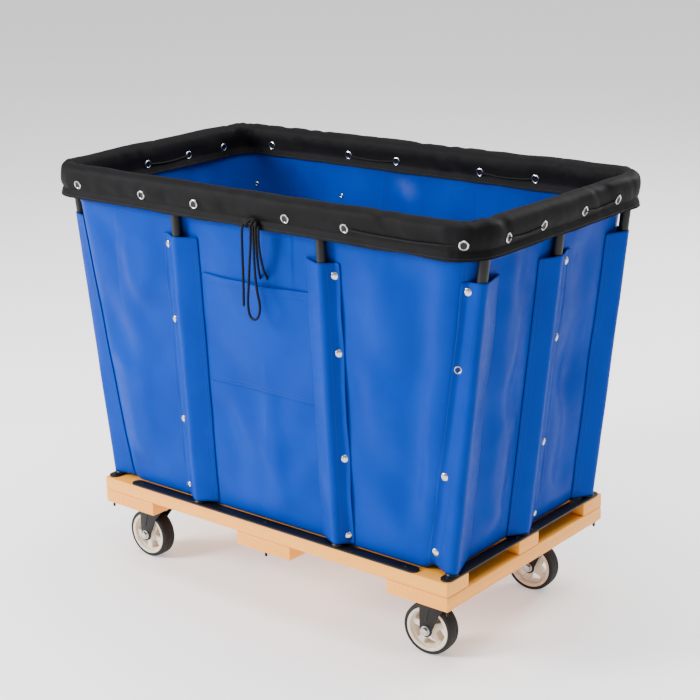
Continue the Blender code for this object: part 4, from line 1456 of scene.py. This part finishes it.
def build_rim_cover():
    layout = ring_layout(RIM, 7.5 * MM, least=16)
    distances = ring_distances(RIM, layout)
    section = cover_section()
    lengths = [0.0]
    for a, b in zip(section, section[1:]):
        lengths.append(lengths[-1] + (b - a).length)
    rows = []
    for index, offset in enumerate(section):
        row = []
        for column, (run, share) in enumerate(layout):
            point, normal = run_spot(RIM, run, share)
            corner = math.sin(share * math.pi) if run % 2 else 0.0
            out, up = offset
            drop = max(0.0, -up)
            inner = out < 0
            if inner:
                out -= wall_slope(normal) * drop
            hem_wave = noise.noise(Vector((distances[column] * 13.0, 3.0 if inner else 9.0, 0.0))) * 2.2 * MM
            flare = (drop / (46 * MM)) ** 2
            push = cover_wrinkle(distances[column], lengths[index], corner)
            push *= 0.4 if drop > 27 * MM else 1.0
            push = min(2.0 * MM, max(push, -0.6 * MM if inner else -3.0 * MM))
            angle = math.atan2(max(up, 0.0), out)
            out += push * math.cos(angle) + (1.5 * MM * flare * (-1 if inner else 1)) * corner
            up += push * math.sin(angle) if up > 0 else 0.0
            if drop > 30 * MM:
                up += hem_wave * flare
            spot = point + normal * out
            row.append((spot.x, spot.y, RAIL_Z + up))
        rows.append(row)
    points = np.array(rows)
    mesh = grid_mesh("rim_cover_cloth", points, distances, lengths, True)
    mesh.shade_smooth()
    cover = thicken(add_object("rim_cover_cloth", mesh, NYLON), COVER_CLOTH)
    tree = BVHTree.FromObject(cover, bpy.context.evaluated_depsgraph_get())
    place(applied(cover), "root", "black_nylon", "rim_cover")
    return tree


COVER_TREE = build_rim_cover()


def on_cover(quarter, position, z, inside=False, lift=0.0):
    """Point on the cover's outer or inner face at a height, and the way that it faces."""
    point, normal = walk(RIM, quarter, position)
    out = Vector((normal.x, normal.y, 0)) * (-1 if inside else 1)
    start = Vector((point.x, point.y, z)) + out * 0.06
    hit, face_normal, _index, _distance = COVER_TREE.ray_cast(start, -out, 0.08)
    if face_normal.dot(out) < 0:
        face_normal = -face_normal
    return hit + face_normal * lift, face_normal


def rim_positions(spacing):
    positions = []
    bend = RIM[2] * math.pi / 2
    for quarter in range(4):
        straight = RIM[quarter % 2] - RIM[2]
        count = round(2 * straight / spacing)
        positions += [(quarter, straight * (2 * step / count - 1)) for step in range(count)]
        positions += [(quarter, straight + bend * step / 12) for step in range(12)]
    return positions


def sew_cover():
    seams = []
    for inside in (False, True):
        seam = [on_cover(quarter, position, RAIL_Z - 42.0 * MM, inside, 0.1 * MM)
                for quarter, position in rim_positions(9 * MM)]
        seams.append(seam + seam[:1])
    sew("cover_stitches", seams, BLACK_THREAD, "root", "black_nylon", size=(1.8 * MM, 0.5 * MM, 0.4 * MM))


sew_cover()

# grommets: (side, distance along from its middle); the lace shows between the paired ones
OUTER_GROMMETS = [(0, -0.247), (0, -0.107), (0, 0.111), (0, 0.244), (0, 0.472), (1, -0.190), (1, -0.084),
                  (1, 0.046), (1, 0.158), (2, -0.400), (2, -0.244), (2, -0.111), (2, 0.107), (2, 0.247),
                  (2, 0.472), (3, -0.158), (3, -0.046), (3, 0.084), (3, 0.190), (0, -0.420)]
INNER_GROMMETS = [(0, -0.273), (0, -0.145), (0, 0.062), (0, 0.187), (1, -0.182), (1, -0.075), (1, 0.044),
                  (1, 0.150), (2, -0.273), (2, -0.145), (2, 0.062), (2, 0.187), (2, 0.400), (3, -0.182),
                  (3, -0.075), (3, 0.044), (3, 0.150)]
OUTER_Z = RAIL_Z - 19.0 * MM
INNER_Z = RAIL_Z - 24.0 * MM
OUTER_SPOTS = [on_cover(side, position, OUTER_Z) for side, position in OUTER_GROMMETS]
INNER_SPOTS = [on_cover(side, position, INNER_Z, True) for side, position in INNER_GROMMETS]
GROMMET_SPOTS = OUTER_SPOTS + INNER_SPOTS
GROMMET_RADIUS = 8.8 * MM
GROMMET_BORE = 6.0 * MM
set_hardware("rim_grommets", snap_ring(GROMMET_RADIUS, GROMMET_BORE, 1.8 * MM, 0.6 * MM), GROMMET_SPOTS,
             NICKEL, "root", "zinc_plate")
# painted shade: a near-black disc in each grommet stands in for the shade in its bore
set_hardware("rim_grommet_holes", dark_disc(GROMMET_BORE + 0.1 * MM), GROMMET_SPOTS, PAINTED_HOLE_SHADE, "root",
             "black_steel")


def lace_span(quarter, start, end, z, inside):
    """The lace from one grommet to the next, lying on the cover and sagging a little."""
    path = []
    count = 16
    for step in range(count + 1):
        share = step / count
        sag = 4.0 * MM * math.sin(math.pi * share)
        entering = min(1.0, min(share, 1 - share) / 0.12)
        lift = -1.5 * MM + 3.2 * MM * entering
        spot, _facing = on_cover(quarter, start + (end - start) * share, z - sag, inside, lift)
        path.append(spot)
    return path


def build_lace():
    spans = [(1, -0.190, -0.084, OUTER_Z, False), (1, 0.046, 0.158, OUTER_Z, False),
             (0, 0.244, 0.472, OUTER_Z, False), (3, -0.158, -0.046, OUTER_Z, False),
             (3, 0.084, 0.190, OUTER_Z, False), (2, -0.244, -0.111, OUTER_Z, False),
             (2, 0.107, 0.247, OUTER_Z, False), (2, -0.273, -0.145, INNER_Z, True),
             (2, 0.062, 0.187, INNER_Z, True), (0, -0.273, -0.145, INNER_Z, True),
             (0, 0.062, 0.187, INNER_Z, True), (1, -0.075, 0.044, INNER_Z, True),
             (3, -0.075, 0.044, INNER_Z, True)]
    meshes = []
    for quarter, start, end, z, inside in spans:
        path = smooth_route(lace_span(quarter, start, end, z, inside), 4 * MM)
        meshes.append(sweep("lace_span", path, LACE_RADIUS, 8))
    lace = add_object("rim_lacing", joined("rim_lacing", meshes), CORD)
    lace.data.shade_smooth()
    place(lace, "root", "lace_cord", "rim_lace")


build_lace()


# ---------------------------------------------------------------------------
# Steel frame
# ---------------------------------------------------------------------------
def build_tubes():
    for upright in UPRIGHTS:
        axis = (upright.head - upright.foot).normalized()
        points = [upright.foot - axis * 1 * MM, upright.foot + axis * 0.1,
                  upright.head - axis * 0.1, upright.head]
        tube = sweep(upright.name + "_tube", points, TUBE_RADIUS, 32)
        bead_profile = [(TUBE_RADIUS - 1 * MM, 4.2 * MM), (TUBE_RADIUS + 0.2 * MM, 3.6 * MM),
                        (TUBE_RADIUS + 2.2 * MM, 1.2 * MM), (TUBE_RADIUS + 2.6 * MM, -1.4 * MM),
                        (TUBE_RADIUS - 1 * MM, -1.4 * MM)]
        bead = turned("weld_bead", bead_profile, 32, closed=True, matrix=Matrix.Translation(upright.foot))
        bead.shade_smooth()
        piece = add_object(upright.name + "_tube", joined(upright.name + "_tube", [tube, bead]), STEEL)
        shade(piece.data, 50)
        place(piece, "root", "black_steel", upright.name + "_upright")
    layout = ring_layout(RIM, 12 * MM, least=14)
    path = []
    for run, share in layout:
        point, _normal = run_spot(RIM, run, share)
        path.append(Vector((point.x, point.y, RAIL_Z)))
    rail = add_object("rim_rail", sweep("rim_rail", path, TUBE_RADIUS, 24, closed=True), STEEL)
    place(rail, "root", "black_steel", "top_rail")


def build_bars():
    for side in ("front", "rear", "left", "right"):
        bar = finished_copy(side + "_flat_bar", side + "_base_bar", STEEL, 0.5 * MM)
        place(bar, "root", "black_steel", side + "_base_bar")


def build_boards():
    for index, side in enumerate(("front", "middle", "rear")):
        low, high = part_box(side + "_runner")
        board = add_object(side + "_pine_runner", rounded_block(side, low, high, 2.2 * MM, 4), PINE_X[index])
        place(board, "root", "pine_board", side + "_runner")
    for index, side in enumerate(("left", "middle", "right")):
        low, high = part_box(side + "_crossboard")
        block = rounded_block(side, low, high, 2.2 * MM, 4)
        board = add_object(side + "_pine_crossboard", block, PINE_Y[index])
        place(board, "root", "pine_board", side + "_crossboard")


def pan_head():
    """Low domed head of a carriage bolt."""
    profile = [(0, 2.0 * MM), (1.8 * MM, 1.85 * MM), (3.4 * MM, 1.3 * MM), (4.4 * MM, 0.5 * MM),
               (4.5 * MM, -0.5 * MM), (0, -0.5 * MM)]
    return turned("pan_head", profile, 20)


def bolt_tip():
    """Threaded end and nut of a carriage bolt, below the boards."""
    nut_profile = [(0, 4.0 * MM), (4.6 * MM, 4.0 * MM), (5.2 * MM, 3.4 * MM), (5.2 * MM, 0.0), (0, 0.0)]
    nut = turned("nut", nut_profile, 6)
    thread = [(0, 13.0 * MM), (2.2 * MM, 13.0 * MM)]
    for turn_index in range(8):
        base = 12.2 - turn_index
        thread += [(2.7 * MM, base * MM), (2.35 * MM, (base - 0.5) * MM)]
    thread += [(2.7 * MM, 3.0 * MM), (0, 3.0 * MM)]
    return joined("bolt_tip", [nut, turned("thread", thread, 16)])


def build_fasteners():
    front_low, front_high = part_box("front_base_bar")
    left_low, left_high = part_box("left_base_bar")
    right_low, right_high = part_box("right_base_bar")
    bar_y = (front_low.y + front_high.y) / 2
    long_places = [(x, sign * bar_y) for x in (-0.334, 0.0, 0.333) for sign in (1, -1)]
    end_places = []
    for low, high in ((left_low, left_high), (right_low, right_high)):
        x = (low.x + high.x) / 2
        end_places += [(x, y) for y in (-0.240, -0.022, 0.022, 0.240)]
    top = front_high.z
    heads = [(Vector((x, y, top)), UP) for x, y in long_places + end_places]
    set_hardware("carriage_bolt_heads", pan_head(), heads, STEEL, "root", "black_steel")
    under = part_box("left_crossboard")[0].z
    tips = []
    for x, y in long_places:
        tips.append((Vector((x * 1.27 if x else -0.004, y, under)), -UP))
    set_hardware("bolt_tips", bolt_tip(), tips, STEEL, "root", "black_steel", seed=3)


build_tubes()
build_bars()
build_boards()
build_fasteners()


# ---------------------------------------------------------------------------
# Casters
# ---------------------------------------------------------------------------
ABOUT_Y = Matrix.Rotation(math.pi / 2, 4, "X")
TYRE_RADIUS = (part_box("front_left_tyre")[1].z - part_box("front_left_tyre")[0].z) / 2
TYRE_HALF = 16.0 * MM
HUB_RADIUS = 43.3 * MM
CROWN_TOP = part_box("front_left_caster_fork")[1].z
TRAIL = 31.0 * MM
FORK_INSIDE = 18.0 * MM
FORK_LEG = 3.0 * MM


def chaikin(points, times):
    """Cut a closed outline's corners until it is smooth."""
    for _ in range(times):
        fresh = []
        for a, b in zip(points, points[1:] + points[:1]):
            fresh += [a.lerp(b, 0.25), a.lerp(b, 0.75)]
        points = fresh
    return points


def outline_plate(name, outlines, half_thickness, edge):
    """Flat outlines, holes included, given a thickness along Z and a rounded edge."""
    curve = bpy.data.curves.new(name, "CURVE")
    curve.dimensions = "2D"
    curve.fill_mode = "BOTH"
    curve.extrude = half_thickness - edge
    curve.bevel_depth = edge
    curve.bevel_resolution = 2
    curve.offset = -edge
    for outline in outlines:
        spline = curve.splines.new("POLY")
        spline.points.add(len(outline) - 1)
        for point, (x, y) in zip(spline.points, outline):
            point.co = (x, y, 0.0, 1.0)
        spline.use_cyclic_u = True
    holder = bpy.data.objects.new(name, curve)
    bpy.context.scene.collection.objects.link(holder)
    bpy.context.view_layer.update()
    mesh = baked(holder, name)
    work = bmesh.new()
    work.from_mesh(mesh)
    bmesh.ops.remove_doubles(work, verts=work.verts, dist=0.01 * MM)
    bmesh.ops.recalc_face_normals(work, faces=work.faces)
    work.to_mesh(mesh)
    work.free()
    return mesh


def circle(radius, count):
    return [Vector((radius * math.cos(2 * math.pi * k / count), radius * math.sin(2 * math.pi * k / count)))
            for k in range(count)]


def window_outline(angle):
    """A slanted teardrop window in the wheel's face."""
    shape = [(14.6, -8), (19.0, -22), (29.0, -31), (34.6, -28), (34.6, -6), (34.4, 14), (30.0, 20),
             (21.0, 13)]
    points = []
    for radius, degrees in shape:
        turn = angle + math.radians(degrees)
        points.append(Vector((radius * MM * math.cos(turn), radius * MM * math.sin(turn))))
    return chaikin(points, 3)


def hub_mesh():
    """Moulded wheel: a raised rim, a face with five windows, and a boss."""
    windows = [window_outline(2 * math.pi * k / 5 + 0.35) for k in range(5)]
    face = outline_plate("hub_face", [circle(36.6 * MM, 72)] + windows, 9.0 * MM, 1.2 * MM)
    rim = [(HUB_RADIUS, 14.2 * MM), (42.6 * MM, 15.0 * MM), (38.0 * MM, 15.0 * MM), (36.9 * MM, 14.2 * MM),
           (35.6 * MM, 8.0 * MM)]
    rim_profile = rim + [(r, -z) for r, z in reversed(rim)]
    rim_mesh = turned("hub_rim", rim_profile, 72, closed=True)
    boss = [(0, 16.4 * MM), (10.5 * MM, 16.4 * MM), (11.8 * MM, 15.6 * MM), (13.6 * MM, 9.0 * MM),
            (13.8 * MM, 0.0), (13.6 * MM, -9.0 * MM), (11.8 * MM, -15.6 * MM), (10.5 * MM, -16.4 * MM),
            (0, -16.4 * MM)]
    boss_mesh = turned("hub_boss", boss, 48)
    return joined("wheel_hub", [face, rim_mesh, boss_mesh])


def tyre_mesh():
    """Tread with rounded shoulders, two shallow grooves and a bead beside the hub."""
    half = [(TYRE_RADIUS, 0.0), (TYRE_RADIUS, 3.4 * MM), (TYRE_RADIUS - 0.9 * MM, 3.9 * MM),
            (TYRE_RADIUS - 0.9 * MM, 4.7 * MM), (TYRE_RADIUS - 0.05 * MM, 5.2 * MM),
            (TYRE_RADIUS - 0.25 * MM, 9.0 * MM)]
    shoulder = 5.2 * MM
    for step in range(6):
        angle = math.pi / 2 * step / 5
        half.append((TYRE_RADIUS - 0.5 * MM - shoulder * (1 - math.cos(angle)),
                     TYRE_HALF - shoulder + shoulder * math.sin(angle)))
    half += [(43.9 * MM, TYRE_HALF), (43.35 * MM, TYRE_HALF - 0.7 * MM)]
    profile = [(r, -z) for r, z in reversed(half[1:])] + half
    return turned("tyre", profile, 72, closed=True)


def fork_mesh():
    """Two pressed legs with a stiffening rib, under a round crown."""
    outline = [(0.020, CROWN_TOP - 2 * MM), (-0.030, CROWN_TOP - 2 * MM), (-0.041, 0.116), (-0.044, 0.104)]
    outline = [Vector(point) for point in outline]
    for step in range(13):
        angle = math.radians(-180 + 185 * step / 12)
        outline.append(Vector((-TRAIL + 13.0 * MM * math.cos(angle), 0.051 + 13.0 * MM * math.sin(angle))))
    outline += [Vector((-0.004, 0.086)), Vector((0.019, 0.114))]
    pieces = []
    for sign in (-1, 1):
        leg = outline_plate("fork_leg", [outline], FORK_LEG / 2, 0.7 * MM)
        leg.transform(Matrix.Translation((0, sign * (FORK_INSIDE + FORK_LEG / 2), 0)) @ ABOUT_Y)
        pieces.append(leg)
        rib_ends = (Vector((-0.018, 0, 0.1165)), Vector((-TRAIL, 0, 0.071)))
        beside = Vector((0, sign * (FORK_INSIDE + FORK_LEG - 1.2 * MM), 0))
        rib_path = [rib_ends[0].lerp(rib_ends[1], k / 6) + beside for k in range(7)]
        pieces.append(sweep("fork_rib", rib_path, 2.6 * MM, 12))
    crown = [(0, CROWN_TOP), (22.5 * MM, CROWN_TOP), (24.0 * MM, CROWN_TOP - 1.2 * MM),
             (24.0 * MM, CROWN_TOP - 4.2 * MM), (22.8 * MM, CROWN_TOP - 5.6 * MM), (0, CROWN_TOP - 5.6 * MM)]
    pieces.append(turned("fork_crown", crown, 48))
    bridge = rounded_block("bridge", (-0.022, -FORK_INSIDE - FORK_LEG + 0.3 * MM, CROWN_TOP - 5.4 * MM),
                           (0.019, FORK_INSIDE + FORK_LEG - 0.3 * MM, CROWN_TOP - 0.3 * MM), 1.2 * MM)
    pieces.append(bridge)
    return joined("fork", pieces)


def plate_bolt_spots(centre, underside):
    spots = []
    for dx in (-0.0385, 0.0385):
        for dy in (-0.0245, 0.0245):
            spots.append((Vector((centre.x + dx, centre.y + dy, underside)), -UP))
    return spots


def build_casters():
    joints = {joint["name"]: joint for joint in frame["joints"]}
    hub, tyre, fork = hub_mesh(), tyre_mesh(), fork_mesh()
    plate_bolts = []
    for number, corner in enumerate(CORNERS):
        roll = joints[corner + "_roll"]
        axle = Vector(roll["pos_m"])
        yaw = math.atan2(-roll["axis"][0], roll["axis"][1])
        kingpin = Vector(joints[corner + "_swivel"]["pos_m"])
        swivelled = Matrix.Translation((kingpin.x, kingpin.y, 0)) @ Matrix.Rotation(yaw, 4, "Z")
        rolled = Matrix.Translation(axle) @ Matrix.Rotation(yaw, 4, "Z")
        rolled = rolled @ Matrix.Rotation(0.5 * number, 4, "Y") @ ABOUT_Y
        for suffix, source, matrix, finish, body, slot, node in (
                ("_moulded_hub", hub, rolled, PLASTIC, "_wheel", "cream_plastic", "_wheel_hub"),
                ("_rubber_tyre", tyre, rolled, RUBBER, "_wheel", "black_rubber", "_tyre"),
                ("_pressed_fork", fork, swivelled, STEEL, "_caster", "black_steel", "_caster_fork")):
            mesh = source.copy()
            mesh.transform(matrix)
            piece = add_object(corner + suffix, mesh, finish)
            shade(mesh, 38)
            place(piece, corner + body, slot, corner + node)
        bolt = finished_copy(corner + "_axle_bolt", corner + "_caster_axle", ZINC, 0.5 * MM)
        place(bolt, corner + "_caster", "zinc_plate", corner + "_caster_axle")
        top = finished_copy(corner + "_top_plate", corner + "_caster_plate", STEEL, 0.5 * MM)
        place(top, "root", "black_steel", corner + "_caster_plate")
        plate_bolts += plate_bolt_spots(kingpin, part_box(corner + "_caster_plate")[1].z - 3 * MM)
    set_hardware("caster_plate_bolts", bolt_tip(), plate_bolts, ZINC, "root", "zinc_plate", seed=7)


build_casters()


# ---------------------------------------------------------------------------
# Studio
# ---------------------------------------------------------------------------
def build_floor():
    mesh = bpy.data.meshes.new("studio_floor")
    work = bmesh.new()
    bmesh.ops.create_grid(work, x_segments=8, y_segments=8, size=30.0)
    work.to_mesh(mesh)
    work.free()
    floor = add_object("studio_floor", mesh, studio_floor("studio_paper"))


def soft_light(name, place_at, target, size, energy):
    lamp = bpy.data.objects.new(name, bpy.data.lights.new(name, "AREA"))
    bpy.context.scene.collection.objects.link(lamp)
    lamp.data.shape = "SQUARE"
    lamp.data.size = size
    lamp.data.energy = energy
    lamp.location = place_at
    lamp.rotation_mode = "QUATERNION"
    lamp.rotation_quaternion = (Vector(target) - Vector(place_at)).to_track_quat("-Z", "Y")


def build_studio():
    build_floor()
    world = bpy.data.worlds.new("studio")
    bpy.context.scene.world = world
    world.use_nodes = True
    background = world.node_tree.nodes["Background"]
    background.inputs["Color"].default_value = (1.0, 1.0, 1.0, 1.0)
    background.inputs["Strength"].default_value = 0.60
    soft_light("overhead", (0.3, 0.2, 4.2), (0.2, 0, 0), 3.6, 270)
    soft_light("key", (-2.2, -3.0, 2.1), (0, 0, 0.45), 1.3, 262)
    soft_light("back", (1.0, 3.6, 2.4), (0, 0, 0.6), 1.4, 88)


build_studio()
